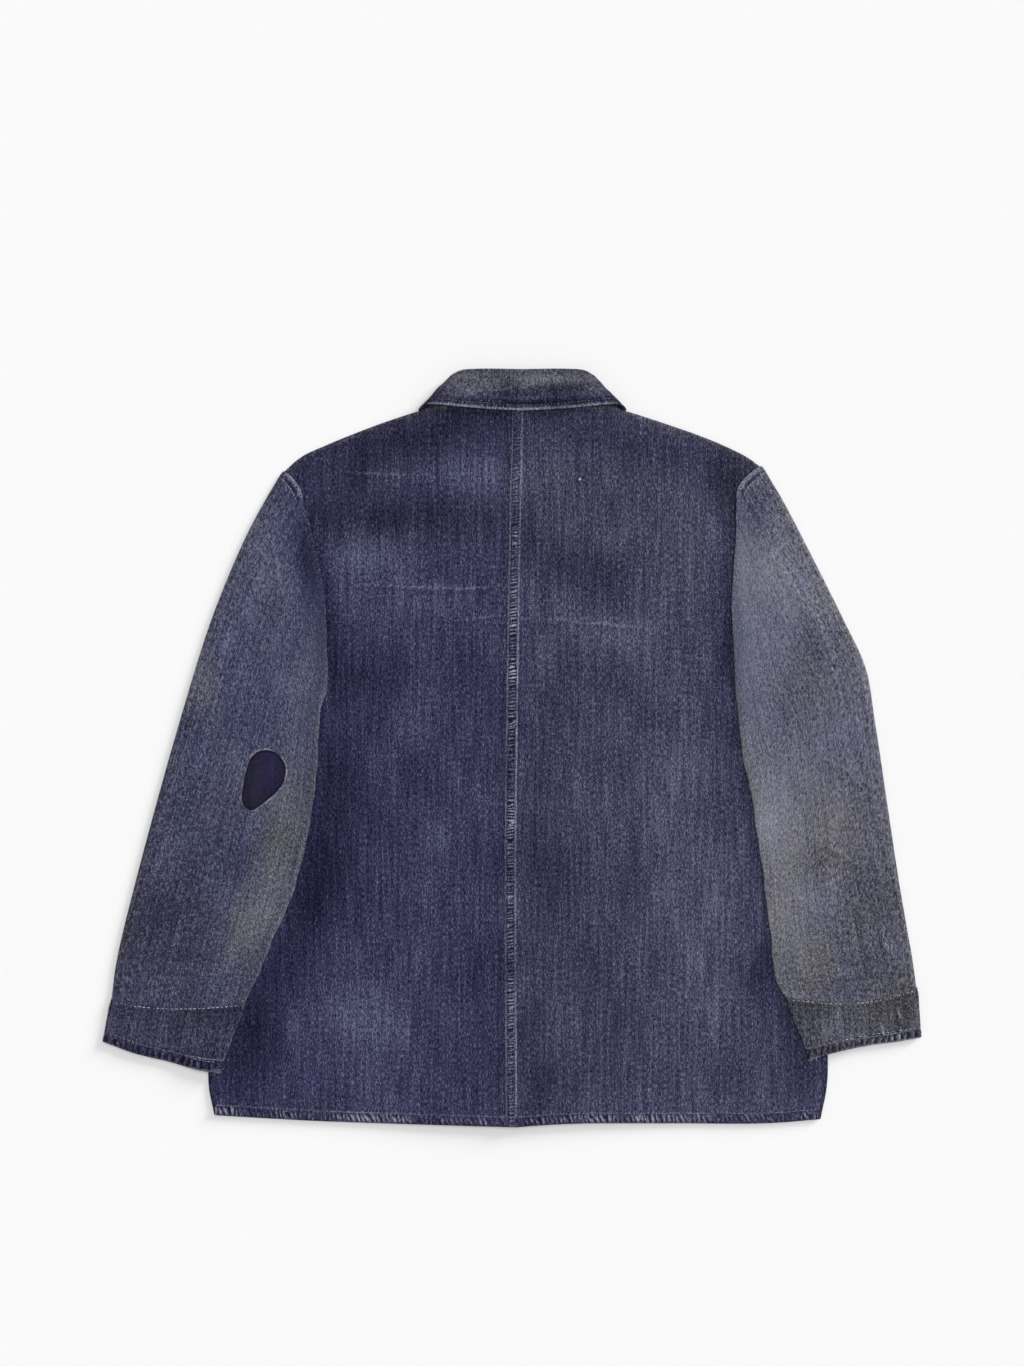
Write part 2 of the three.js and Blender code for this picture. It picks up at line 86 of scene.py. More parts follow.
class Line:
    """A line in plan, kept as close points and walked by its length."""

    def __init__(self, points: Grid) -> None:
        """Keep the points and the length up to each of them.

        Args:
            points: Close points in plan, one row each.
        """
        self.points = np.asarray(points, float)
        steps = np.linalg.norm(np.diff(self.points, axis=0), axis=1)
        self.reach = np.concatenate([[0.0], np.cumsum(steps)])
        self.length = float(self.reach[-1])

    @classmethod
    def through(cls, points: Points, closed: bool = False, per_span: int = 36) -> "Line":
        """Make a smooth line through a few points, as the part's source does.

        Args:
            points: The points in plan that the line passes.
            closed: Whether the line comes back to its first point.
            per_span: How many close points each span gets.

        Returns:
            The smooth line.
        """
        p = np.asarray(points, float)
        if closed:
            p = np.vstack([p[-1], p, p[0], p[1]])
        else:
            p = np.vstack([2 * p[0] - p[1], p, 2 * p[-1] - p[-2]])
        t = np.linspace(0.0, 1.0, per_span + 1)[:, None]
        made = [p[1][None]]
        for p0, p1, p2, p3 in zip(p, p[1:], p[2:], p[3:]):
            d0, d1, d2 = (max(np.linalg.norm(b - a) ** 0.5, 1e-6) for a, b in ((p0, p1), (p1, p2), (p2, p3)))
            m1 = ((p1 - p0) / d0 - (p2 - p0) / (d0 + d1) + (p2 - p1) / d1) * d1
            m2 = ((p2 - p1) / d1 - (p3 - p1) / (d1 + d2) + (p3 - p2) / d2) * d1
            span = p1 + m1 * t + (-3 * p1 + 3 * p2 - 2 * m1 - m2) * t**2 + (2 * p1 - 2 * p2 + m1 + m2) * t**3
            made.append(span[1:])
        return cls(np.vstack(made))

    @classmethod
    def joined(cls, *parts: Points) -> "Line":
        """Return smooth lines through each list of points, one after the other."""
        return cls(np.vstack([cls.through(p).points[(1 if i else 0):] for i, p in enumerate(parts)]))

    def at(self, share: Grid) -> Grid:
        """Return the points at these shares of the length, with one more axis for x and y."""
        want = np.asarray(share, float) * self.length
        return np.stack([np.interp(want, self.reach, self.points[:, k]) for k in (0, 1)], -1)

    def across(self, share: Grid) -> Grid:
        """Find the directions square to the line, to the left of its own.

        Args:
            share: Shares of the length.

        Returns:
            A unit vector for each of them.
        """
        step = 0.5 / self.length
        along = self.at(np.minimum(share + step, 1.0)) - self.at(np.maximum(np.asarray(share) - step, 0.0))
        along /= np.linalg.norm(along, axis=-1, keepdims=True)
        return np.stack([-along[..., 1], along[..., 0]], -1)

    def beside(self, distance: float, count: int = 160) -> "Line":
        """Return the line moved to its left by a distance."""
        share = np.linspace(0.0, 1.0, count)
        return Line(self.at(share) + distance * self.across(share))

    def part(self, start: float, end: float, count: int = 160) -> "Line":
        """Return the stretch between two shares of the length."""
        return Line(self.at(np.linspace(start, end, count)))

    def nearest(self, x: Grid, y: Grid) -> tuple[Grid, Grid]:
        """Find how far points in plan lie from the line.

        Args:
            x, y: The points' places.

        Returns:
            The distance of each point, and the share of the length where it is nearest.
        """
        best = np.full(np.shape(x), np.inf)
        share = np.zeros(np.shape(x))
        pick = np.linspace(0, len(self.points) - 1, min(len(self.points), 28)).round().astype(int)
        knots, reach = self.points[pick], self.reach[pick]
        for a, b, low, high in zip(knots, knots[1:], reach, reach[1:]):
            run = b - a
            t = np.clip(((x - a[0]) * run[0] + (y - a[1]) * run[1]) / max(float(run @ run), 1e-9), 0.0, 1.0)
            away = np.hypot(x - a[0] - t * run[0], y - a[1] - t * run[1])
            nearer = away < best
            best = np.where(nearer, away, best)
            share = np.where(nearer, (low + (high - low) * t) / self.length, share)
        return best, share


def patch_between(a: Line, b: Line, c: Line, d: Line, u: Grid, v: Grid) -> Grid:
    """Fill the plan between four lines: a and b run across, c and d along from a to b.

    Args:
        a: The line across at v = 0.
        b: The line across at v = 1.
        c: The line along at u = 0.
        d: The line along at u = 1.
        u: Shares across, one for each column.
        v: Shares along, one for each row.

    Returns:
        Points in plan, as rows, columns and x, y.
    """
    uu, vv = u[None, :, None], v[:, None, None]
    ends = a.at(np.array([0.0, 1.0])), b.at(np.array([0.0, 1.0]))
    straight = lerp(a.at(u)[None], b.at(u)[None], vv) + lerp(c.at(v)[:, None], d.at(v)[:, None], uu)
    return straight - lerp(lerp(ends[0][0], ends[0][1], uu), lerp(ends[1][0], ends[1][1], uu), vv)


def graded(length: float, step: float, start: Sequence[float] = (), end: Sequence[float] = ()) -> Grid:
    """Return shares from 0 to 1 with even steps, and closer ones at the ends.

    Args:
        length: The length that the shares are of.
        step: The even step, as a length.
        start: Distances from the start that get a point of their own.
        end: Distances from the end that get one.

    Returns:
        The shares in order.
    """
    first = (max(start) if start else 0.0) / length
    last = 1.0 - (max(end) if end else 0.0) / length
    even = np.linspace(first, last, max(2, round((last - first) * length / step) + 1))
    near = [0.0, *(s / length for s in start), *(1.0 - s / length for s in end), 1.0]
    return np.unique(np.round(np.concatenate([even, near]), 9))


@dataclass(frozen=True)
class Crease:
    """A soft ridge along a bent line, or a trough where its height is below zero."""

    points: Points
    width: float
    height: float
    rub: float = 0.0  # how pale its crest is rubbed

    ENDS = (0.06, 0.94)  # shares of half a sine wave, so that an end fades without a point
    SINK = 0.28  # how deep the cloth dips beside the ridge, as a share of its height

    def shape(self, x: Grid, y: Grid) -> tuple[Grid, Grid]:
        """Work out what the crease does at points in plan.

        Args:
            x, y: The points' places.

        Returns:
            The height that it adds, and how much it rubs the cloth there.
        """
        away, share = Line.through(self.points, per_span=8).nearest(x, y)
        taper = np.sin(np.pi * lerp(*self.ENDS, share)) ** 0.8
        ridge = bell(away, self.width) - self.SINK * bell(away - 1.9 * self.width, self.width)
        crest = bell(away, 0.22 * self.width + 0.8)
        return self.height * taper * ridge, self.rub * taper * crest


@dataclass(frozen=True)
class Blot:
    """A soft oval where the cloth is faded, darker or greyer."""

    x: float
    y: float
    rx: float
    ry: float
    turn: float = 0.0  # degrees
    tone: float = 0.0
    grey: float = 0.0

    def weight(self, x: Grid, y: Grid) -> Grid:
        """Work out how strongly the oval shows at points in plan.

        Args:
            x, y: The points' places.

        Returns:
            A weight from 0 to 1 for each point.
        """
        c, s = math.cos(math.radians(self.turn)), math.sin(math.radians(self.turn))
        dx, dy = x - self.x, y - self.y
        along, square = (c * dx + s * dy) / self.rx, (c * dy - s * dx) / self.ry
        return np.exp(-(along**2 + square**2))


def creased(creases: Iterable[Crease], x: Grid, y: Grid) -> tuple[Grid, Grid]:
    """Add up creases at points in plan.

    Args:
        creases: The creases.
        x, y: The points' places.

    Returns:
        Their summed height, and their strongest rub.
    """
    height, rub = np.zeros(np.shape(x)), np.zeros(np.shape(x))
    for crease in creases:
        added, pale = crease.shape(x, y)
        height += added
        rub = np.maximum(rub, pale)
    return height, rub


def blotted(blots: Iterable[Blot], x: Grid, y: Grid) -> tuple[Grid, Grid]:
    """Add up blots at points in plan.

    Args:
        blots: The blots.
        x, y: The points' places.

    Returns:
        Their summed tone, and their strongest greyness.
    """
    tone, grey = np.zeros(np.shape(x)), np.zeros(np.shape(x))
    for blot in blots:
        weight = blot.weight(x, y)
        tone += blot.tone * weight
        grey = np.maximum(grey, blot.grey * weight)
    return tone, grey


def cells(rows: int, across: int, stride: int) -> Grid:
    """Number the corners of a grid's cells.

    Args:
        rows: How many rows of points it has.
        across: How many cells a row has.
        stride: How many points a row has, after which it closes on itself.

    Returns:
        The four point numbers of each cell.
    """
    i, j = np.meshgrid(np.arange(rows - 1), np.arange(across), indexing="ij")
    corners = ((i, j), (i, j + 1), (i + 1, j + 1), (i + 1, j))
    return np.stack([row * stride + column % stride for row, column in corners], -1).reshape(-1, 4)


@dataclass
class Cloth:
    """A cloth as a grid of points at the middle of its wall, with what its finish reads at each."""

    middle: Grid  # rows, columns, 3
    wall: Grid  # rows, columns
    weave: Grid  # rows, columns (one more on a ring), across and along the warp
    marks: dict[str, Grid]
    ring: bool = False
    bulge: tuple[float, float, float, float] = (1.0, 1.0, 1.0, 1.0)  # first row, last row, first, last column

    RIM = 4  # steps round a rim

    def tangents(self) -> tuple[Grid, Grid]:
        """Find the directions of the grid at each point.

        Returns:
            Unit vectors across the columns, and along the rows.
        """
        m = self.middle
        if self.ring:
            around = np.roll(m, -1, 1) - np.roll(m, 1, 1)
        else:
            around = np.gradient(m, axis=1)
        return unit(around), unit(np.gradient(m, axis=0))

    def normals(self) -> Grid:
        """Return the unit normals of the middle surface."""
        around, along = self.tangents()
        return unit(np.cross(around, along))

    def loops(self) -> list[list[tuple[int, int]]]:
        """Find the open edges.

        Returns:
            Each edge as a loop of row and column numbers.
        """
        rows, columns = self.middle.shape[:2]
        if self.ring:
            return [[(0, j) for j in range(columns)], [(rows - 1, j) for j in reversed(range(columns))]]
        first = [(0, j) for j in range(columns)]
        last = [(i, columns - 1) for i in range(1, rows)]
        back = [(rows - 1, j) for j in reversed(range(columns - 1))]
        down = [(i, 0) for i in reversed(range(1, rows - 1))]
        return [first + last + back + down]

    def build(self, name: str, material: Material) -> Thing:
        """Make the cloth's closed mesh, with round rims, in the scene.

        Args:
            name: The piece's name.
            material: Its finish.

        Returns:
            The new object.
        """
        rows, columns = self.middle.shape[:2]
        normal = self.normals()
        half = self.wall[..., None] / 2
        around, along = self.tangents()
        outer, inner = self.middle + normal * half, self.middle - normal * half
        across, wide = columns if self.ring else columns - 1, self.weave.shape[1]
        quad, look = cells(rows, across, columns), cells(rows, across, wide)
        faces, looks = [quad, quad[:, ::-1] + rows * columns], [look, look[:, ::-1]]
        points = [outer.reshape(-1, 3), inner.reshape(-1, 3)]
        source = [np.arange(rows * columns)] * 2
        count = 2 * rows * columns
        for loop in self.loops():
            li, lj = np.array(loop).T
            push = self.outward(loop, around, along)
            rings = [li * columns + lj]
            for k in range(1, self.RIM):
                angle = math.pi * k / self.RIM
                ring = self.middle[li, lj] + normal[li, lj] * half[li, lj] * math.cos(angle)
                points.append(ring + push * half[li, lj] * math.sin(angle))
                source.append(li * columns + lj)
                rings.append(count + np.arange(len(loop)))
                count += len(loop)
            rings.append(rows * columns + li * columns + lj)
            seen = li * wide + lj
            for low, high in zip(rings, rings[1:]):
                faces.append(np.stack([np.roll(low, -1), low, high, np.roll(high, -1)], -1))
                looks.append(np.stack([np.roll(seen, -1), seen, seen, np.roll(seen, -1)], -1))
        marks = {key: value.reshape(-1)[np.concatenate(source)] for key, value in self.marks.items()}
        weave = self.weave.reshape(-1, 2)[np.vstack(looks)]
        return make_mesh(name, np.vstack(points), np.vstack(faces).tolist(), material, marks, weave)

    def outward(self, loop: list[tuple[int, int]], around: Grid, along: Grid) -> Grid:
        """Return how far a round rim stands out at each point of an open edge.

        Args:
            loop: The edge's row and column numbers.
            around: Unit vectors across the columns.
            along: Unit vectors along the rows.

        Returns:
            One vector for each point of the edge.
        """
        rows, columns = self.middle.shape[:2]
        push = np.zeros((len(loop), 3))
        for k, (i, j) in enumerate(loop):
            if i == 0:
                push[k] -= along[i, j] * self.bulge[0]
            if i == rows - 1:
                push[k] += along[i, j] * self.bulge[1]
            if not self.ring and j == 0:
                push[k] -= around[i, j] * self.bulge[2]
            if not self.ring and j == columns - 1:
                push[k] += around[i, j] * self.bulge[3]
        return push / np.maximum(np.linalg.norm(push, axis=1, keepdims=True), 1.0)


def make_mesh(
    name: str,
    points: Grid,
    faces: list[list[int]],
    material: Material,
    marks: dict[str, Grid] | None = None,
    weave: Grid | None = None,
) -> Thing:
    """Make a smooth closed object from points in millimetres.

    Args:
        name: The object's name.
        points: Its vertices.
        faces: Its faces as rows of vertex numbers.
        material: Its finish.
        marks: Named values at each vertex for the finish.
        weave: Coordinates of the weave at each corner of each face, in millimetres.

    Returns:
        The new object.
    """
    points[:, 2] = np.maximum(points[:, 2], LEAST_HEIGHT)
    mesh = bpy.data.meshes.new(name)
    mesh.from_pydata((points * MM).tolist(), [], faces)
    if weave is not None:
        layer = mesh.uv_layers.new(name="Weave")
        layer.uv.foreach_set("vector", (weave * MM).astype(np.float32).ravel())
    for key, value in (marks or {}).items():
        mesh.attributes.new(key, "FLOAT", "POINT").data.foreach_set("value", value.astype(np.float32))
    mesh.polygons.foreach_set("use_smooth", np.full(len(mesh.polygons), True))
    mesh.materials.append(material)
    mesh.update()
    turn_out(mesh)
    made = bpy.data.objects.new(name, mesh)
    bpy.context.scene.collection.objects.link(made)
    return made


def turn_out(mesh: bpy.types.Mesh) -> None:
    """Flip a closed mesh whose faces point inwards.

    Args:
        mesh: The mesh, with its faces all turned one way.
    """
    points = np.empty(len(mesh.vertices) * 3, np.float32)
    mesh.vertices.foreach_get("co", points)
    mesh.calc_loop_triangles()
    corners = np.empty(len(mesh.loop_triangles) * 3, np.int32)
    mesh.loop_triangles.foreach_get("vertices", corners)
    a, b, c = points.reshape(-1, 3).astype(float)[corners.reshape(-1, 3)].transpose(1, 0, 2)
    if (a * np.cross(b, c)).sum() < 0:
        mesh.flip_normals()


class Surface:
    """The faces of a piece, to lay sewing and patches on."""

    CLEAR = 0.05  # metres, well past the whole jacket's thickness

    def __init__(self, piece: Thing) -> None:
        """Gather the piece's faces.

        Args:
            piece: The object that carries the sewing.
        """
        points = [v.co[:] for v in piece.data.vertices]
        self.tree = BVHTree.FromPolygons(points, [p.vertices[:] for p in piece.data.polygons])

    def drop(self, x: float, y: float, below: bool = False) -> tuple[Grid, Grid] | None:
        """Find where a vertical line first meets the piece.

        Args:
            x, y: The line's place.
            below: Whether it comes from below.

        Returns:
            The point and the normal there, or None where nothing is met.
        """
        start = Vector((x * MM, y * MM, -self.CLEAR if below else self.CLEAR))
        place, normal, _, _ = self.tree.ray_cast(start, Vector((0, 0, 1 if below else -1)))
        if place is None:
            return None
        facing = np.array(normal)
        if facing[2] * (-1 if below else 1) < 0:
            facing = -facing
        return np.array(place) / MM, facing


@dataclass(frozen=True)
class Seam:
    """A row of machine stitches along a line in plan."""

    line: Line
    pitch: float = 3.4
    length: float = 2.5
    thread: float = 0.34
    lost: float = 0.04  # share of stitches that have worn through
    waver: float = 0.25
    below: bool = False

    LIFT = (-0.9, 0.35, 0.75, 0.35, -0.9)  # of a stitch's points over the cloth, in thread radii
    STEEP = 2.0  # a stitch that would rise more than this is left out

    def stitches(self, surface: Surface, rng: Rng) -> list[Grid]:
        """Lay the row's stitches on a surface.

        Args:
            surface: What carries the row.
            rng: The source of small differences.

        Returns:
            The middle line of each stitch.
        """
        made = []
        for k in range(int(self.line.length / self.pitch)):
            start = (k + 0.5) * self.pitch - self.length / 2 + rng.normal(0, 0.12)
            if rng.random() < self.lost:
                continue
            share = np.clip((start + np.linspace(0, self.length, len(self.LIFT))) / self.line.length, 0, 1)
            plan = self.line.at(share) + self.line.across(share) * rng.normal(0, self.waver * 0.5)
            laid = [surface.drop(x, y, self.below) for x, y in plan]
            if any(hit is None for hit in laid):
                continue
            lift = self.thread * np.array(self.LIFT)
            points = np.array([hit[0] + hit[1] * up for hit, up in zip(laid, lift)])
            if np.ptp(points[:, 2]) < self.STEEP:
                made.append(points)
        return made


def threads(name: str, lines: list[Grid], radius: float, material: Material, sides: int = 5) -> Thing:
    """Make short threads along lines as one closed mesh.

    Args:
        name: The object's name.
        lines: The middle line of each thread.
        radius: The threads' radius.
        material: Their finish.
        sides: How many sides a thread has.

    Returns:
        The new object.
    """
    turn = 2 * np.pi * np.arange(sides) / sides
    points, faces, start = [], [], 0
    for k, line in enumerate(lines):
        along = unit(np.gradient(line, axis=0))
        across = unit(np.cross(along, np.array([0.0, 0.0, 1.0])))
        up = np.cross(across, along)
        fat = radius * (1 + 0.12 * math.sin(2.3 * k)) * np.array([0.55, *[1.0] * (len(line) - 2), 0.55])
        ring = line[:, None] + fat[:, None, None] * (
            across[:, None] * np.cos(turn)[None, :, None] + up[:, None] * np.sin(turn)[None, :, None]
        )
        points.append(ring.reshape(-1, 3))
        faces += (start + cells(len(line), sides, sides)).tolist()
        faces.append([start + s for s in reversed(range(sides))])
        faces.append([start + (len(line) - 1) * sides + s for s in range(sides)])
        start += len(line) * sides
    return make_mesh(name, np.vstack(points), faces, material)


Colour = tuple[float, float, float]


def srgb(red: int, green: int, blue: int) -> Colour:
    """Return a screen colour from 0 to 255 as linear light."""
    shares = (red / 255, green / 255, blue / 255)
    return tuple(c / 12.92 if c <= 0.04045 else ((c + 0.055) / 1.055) ** 2.4 for c in shares)


class Net:
    """A node tree with short ways to add and join its nodes."""

    def __init__(self, tree: bpy.types.NodeTree) -> None:
        """Keep the material's or the group's node tree."""
        self.tree = tree

    def add(self, kind: str, **sockets: object) -> bpy.types.Node:
        """Add a node.

        Args:
            kind: The node's type, without its ShaderNode prefix.
            sockets: Values or links for its inputs, by name with _ for a space, or its own properties.

        Returns:
            The new node.
        """
        node = self.tree.nodes.new("ShaderNode" + kind if not kind.startswith("Node") else kind)
        for key, value in sockets.items():
            if hasattr(node, key):
                setattr(node, key, value)
            else:
                self.feed(node.inputs[key.replace("_", " ")], value)
        return node

    def feed(self, socket: Socket, value: object) -> None:
        """Give an input a value, or a link where the value is another node's output.

        Args:
            socket: The input.
            value: The value or the output.
        """
        if isinstance(value, Socket):
            self.tree.links.new(value, socket)
        elif isinstance(value, tuple) and len(value) == 3 and socket.type == "RGBA":
            socket.default_value = (*value, 1.0)
        else:
            socket.default_value = value

    def fill(self, node: bpy.types.Node, *values: object) -> Socket:
        """Feed a node's inputs in their order.

        Args:
            node: The node.
            values: Values or links, one for each of its first inputs.

        Returns:
            The node's first output.
        """
        for socket, value in zip(node.inputs, values):
            self.feed(socket, value)
        return node.outputs[0]

    def math(self, operation: str, *values: object, clamp: bool = False) -> Socket:
        """Add a Math node and return its output."""
        return self.fill(self.add("Math", operation=operation, use_clamp=clamp), *values)

    def sum_of(self, *values: object) -> Socket:
        """Add values up and return the output."""
        return reduce(lambda total, value: self.math("ADD", total, value), values)

    def times(self, value: object, factor: object) -> Socket:
        """Multiply two values and return the output."""
        return self.math("MULTIPLY", value, factor)

    def blend(self, share: object, a: object, b: object) -> Socket:
        """Mix two colours.

        Args:
            share: How much of the second colour shows.
            a: The first colour.
            b: The second colour.

        Returns:
            The mixed colour.
        """
        node = self.add("Mix", data_type="RGBA", clamp_factor=True)
        colours = [s for s in node.inputs if s.type == "RGBA"]
        self.feed(node.inputs[0], share)
        self.feed(colours[0], a)
        self.feed(colours[1], b)
        return next(s for s in node.outputs if s.type == "RGBA")

    def stretched(self, vector: object, sizes: Colour, shift: Colour = (0, 0, 0)) -> Socket:
        """Return coordinates multiplied by sizes and then shifted."""
        return self.fill(self.add("VectorMath", operation="MULTIPLY_ADD"), vector, sizes, shift)

    def noise(self, vector: object, detail: float = 2.0, rough: float = 0.5) -> Socket:
        """Return even noise about zero."""
        node = self.add("TexNoise", Vector=vector, Scale=1.0, Detail=detail, Roughness=rough, Distortion=0.35)
        return self.math("SUBTRACT", node.outputs[0], 0.5)

    def eased(
        self, value: object, low: float, high: float, to_low: float = 0.0, to_high: float = 1.0
    ) -> Socket:
        """Return a value eased from one range to another."""
        node = self.add("MapRange", interpolation_type="SMOOTHSTEP")
        return self.fill(node, value, low, high, to_low, to_high)

    def bumped(self, shader: bpy.types.Node, strength: float, distance: float, height: object) -> None:
        """Give a shader a bump of some strength and depth in metres."""
        bump = self.add("Bump", Strength=strength, Distance=distance, Height=height)
        self.feed(shader.inputs["Normal"], bump.outputs[0])


def blank(name: str) -> tuple[Material, Net, bpy.types.Node]:
    """Start a material.

    Args:
        name: The finish's name.

    Returns:
        The material, its nodes and its shader.
    """
    made = bpy.data.materials.new(name)
    made.use_nodes = True
    shader = next(node for node in made.node_tree.nodes if node.type == "BSDF_PRINCIPLED")
    return made, Net(made.node_tree), shader


class Effect(Enum):
    """The effects that more than one finish uses, each a node group."""

    SLUB = "slub weave"
    CLOUD = "uneven fade"
    RUB = "rubbed edges"
    DYE = "faded dye"


class Effects:
    """Builds each node group once, by the method with the effect's name, and places it in materials."""

    def __init__(self) -> None:
        """Start with no group made."""
        self.made: dict[Effect, bpy.types.NodeTree] = {}

    def place(self, net: Net, effect: Effect, **sockets: object) -> bpy.types.Node:
        """Put a group in a material.

        Args:
            net: The material's nodes.
            effect: Which group.
            sockets: Values or links for the group's inputs.

        Returns:
            The group's node.
        """
        if effect not in self.made:
            self.made[effect] = getattr(self, effect.name.lower())()
        node = net.tree.nodes.new("ShaderNodeGroup")
        node.node_tree = self.made[effect]
        for key, value in sockets.items():
            net.feed(node.inputs[key.replace("_", " ")], value)
        return node

    @staticmethod
    def group(name: str, takes: dict[str, str], gives: dict[str, str]) -> tuple[Net, dict, bpy.types.Node]:
        """Start a node group with named sockets.

        Args:
            name: The group's name.
            takes: Its inputs, each with its kind.
            gives: Its outputs, each with its kind.

        Returns:
            The group's net, its inputs by name, and its output node.
        """
        tree = bpy.data.node_groups.new(name, "ShaderNodeTree")
        for way, sockets in (("INPUT", takes), ("OUTPUT", gives)):
            for socket, kind in sockets.items():
                tree.interface.new_socket(socket, in_out=way, socket_type="NodeSocket" + kind)
        net = Net(tree)
        start = net.add("NodeGroupInput")
        return net, {s.name: s for s in start.outputs if s.name}, net.add("NodeGroupOutput")

    def slub(self) -> bpy.types.NodeTree:
        """Make the group of slubby warp streaks, flecks, crinkles and twill lines.

        Returns:
            The group's node tree.
        """
        gives = dict.fromkeys(("Streak", "Fleck", "Crinkle", "Height"), "Float")
        net, given, out = self.group(Effect.SLUB.value, {"Cloth": "Vector"}, gives)
        cloth = given["Cloth"]
        wide = net.noise(net.stretched(cloth, (330, 16, 1)), 1.0)
        fine = net.noise(net.stretched(cloth, (780, 270, 1), (3.1, 8.7, 0)), 1.0)
        speck = net.noise(net.stretched(cloth, (980, 600, 1), (9.2, 1.3, 0)), 1.0, 0.6)
        net.feed(out.inputs["Fleck"], speck)
        crinkle = net.noise(net.stretched(cloth, (340, 230, 1), (5.5, 2.2, 0)), 2.0, 0.65)
        net.feed(out.inputs["Crinkle"], crinkle)
        slant = net.add(
            "TexWave", wave_type="BANDS", bands_direction="DIAGONAL", Scale=470.0, Distortion=1.6, Detail=1.0,
            Detail_Scale=1.5, Vector=net.stretched(cloth, (1.0, 0.62, 0)),
        )
        twill = net.times(net.math("SUBTRACT", slant.outputs["Fac"], 0.5), 0.3)
        streak = net.sum_of(net.times(wide, 0.6), net.times(fine, 1.3), net.times(twill, 0.7))
        net.feed(out.inputs["Streak"], streak)
        net.feed(out.inputs["Height"], net.sum_of(twill, fine, net.times(speck, 0.8), crinkle))
        return net.tree

    def cloud(self) -> bpy.types.NodeTree:
        """Make the group of soft uneven fading at three sizes.

        Returns:
            The group's node tree.
        """
        takes = {"Cloth": "Vector", "Shift": "Vector"}
        net, given, out = self.group(Effect.CLOUD.value, takes, {"Cloud": "Float"})
        place = net.fill(net.add("VectorMath", operation="ADD"), given["Cloth"], given["Shift"])
        large = net.noise(net.stretched(place, (9, 7, 1)), 1.0)
        middle = net.noise(net.stretched(place, (30, 22, 1), (4, 2, 0)), 2.0)
        small = net.noise(net.stretched(place, (110, 60, 1), (7, 5, 0)), 2.0)
        net.feed(out.inputs["Cloud"], net.sum_of(large, net.times(middle, 0.8), net.times(small, 0.4)))
        return net.tree

    def rub(self) -> bpy.types.NodeTree:
        """Make the group that breaks up rubbed edges along the threads.

        Returns:
            The group's node tree.
        """
        takes = dict.fromkeys(("Rub", "Streak", "Fleck"), "Float")
        net, given, out = self.group(Effect.RUB.value, takes, {"Mask": "Float"})
        rough = net.sum_of(net.times(given["Streak"], 1.1), net.times(given["Fleck"], 1.6))
        shown = net.times(given["Rub"], net.math("ADD", rough, 1.0))
        net.feed(out.inputs["Mask"], net.eased(shown, 0.12, 1.1))
        return net.tree

    def dye(self) -> bpy.types.NodeTree:
        """Make the group that colours cloth by how faded, grey and rubbed it is.

        Returns:
            The group's node tree.
        """
        takes = dict.fromkeys(("Deep", "Mid", "Faded", "Pale"), "Color")
        takes |= dict.fromkeys(("Level", "Grey", "Mask"), "Float")
        net, given, out = self.group(Effect.DYE.value, takes, {"Color": "Color"})
        twice = net.times(given["Level"], 2.0)
        first = net.math("MINIMUM", twice, 1.0, clamp=True)
        second = net.math("SUBTRACT", twice, 1.0, clamp=True)
        third = net.math("SUBTRACT", twice, 2.0, clamp=True)
        blue = net.blend(second, net.blend(first, given["Deep"], given["Mid"]), given["Faded"])
        blue = net.blend(third, blue, given["Pale"])
        plain = net.add("RGBToBW", Color=blue).outputs[0]
        tint = net.add("CombineColor", Red=net.times(plain, 1.01), Green=plain, Blue=net.times(plain, 1.18))
        dulled = net.blend(given["Grey"], blue, tint.outputs[0])
        net.feed(out.inputs["Color"], net.blend(given["Mask"], dulled, given["Pale"]))
        return net.tree


EFFECTS = Effects()


@dataclass(frozen=True)
class Denim:
    """A finish of worn indigo twill."""

    name: str
    level: float  # how faded, from 0 to 1
    grey: float = 0.0
    streak: float = 1.0
    fleck: float = 1.1
    crinkle: float = 0.25  # like streak, fleck and cloud, how strongly that pattern shows
    cloud: float = 0.3
    deep: Colour = srgb(18, 15, 39)
    mid: Colour = srgb(57, 56, 88)
    faded: Colour = srgb(114, 117, 141)
    pale: Colour = srgb(160, 160, 176)
    shift: Colour = (0.0, 0.0, 0.0)
    bump: float = 0.5

    def material(self) -> Material:
        """Make the finish.

        Returns:
            The material.
        """
        made, net, shader = blank(self.name)
        cloth = net.add("UVMap", uv_map="Weave").outputs[0]
        slub = EFFECTS.place(net, Effect.SLUB, Cloth=cloth)
        streak, fleck = slub.outputs["Streak"], slub.outputs["Fleck"]
        cloud = EFFECTS.place(net, Effect.CLOUD, Cloth=cloth, Shift=self.shift)
        names = ("tone", "grey", "rub")
        mark = {name: net.add("Attribute", attribute_name=name).outputs["Fac"] for name in names}
        level = net.sum_of(
            net.math("ADD", mark["tone"], self.level),
            net.times(streak, self.streak),
            net.times(fleck, self.fleck),
            net.times(slub.outputs["Crinkle"], self.crinkle),
            net.times(cloud.outputs["Cloud"], self.cloud),
        )
        mask = EFFECTS.place(net, Effect.RUB, Rub=mark["rub"], Streak=streak, Fleck=fleck).outputs["Mask"]
        dye = EFFECTS.place(
            net, Effect.DYE, Deep=self.deep, Mid=self.mid, Faded=self.faded, Pale=self.pale,
            Level=level, Grey=net.math("ADD", mark["grey"], self.grey, clamp=True), Mask=mask,
        )
        net.feed(shader.inputs["Base Color"], dye.outputs["Color"])
        net.feed(shader.inputs["Roughness"], net.eased(fleck, -0.4, 0.4, 0.82, 0.98))
        net.bumped(shader, self.bump, 0.0006, slub.outputs["Height"])
        shader.inputs["Specular IOR Level"].default_value = 0.05
        shader.inputs["Sheen Weight"].default_value = 0.02
        shader.inputs["Sheen Roughness"].default_value = 0.6
        return made


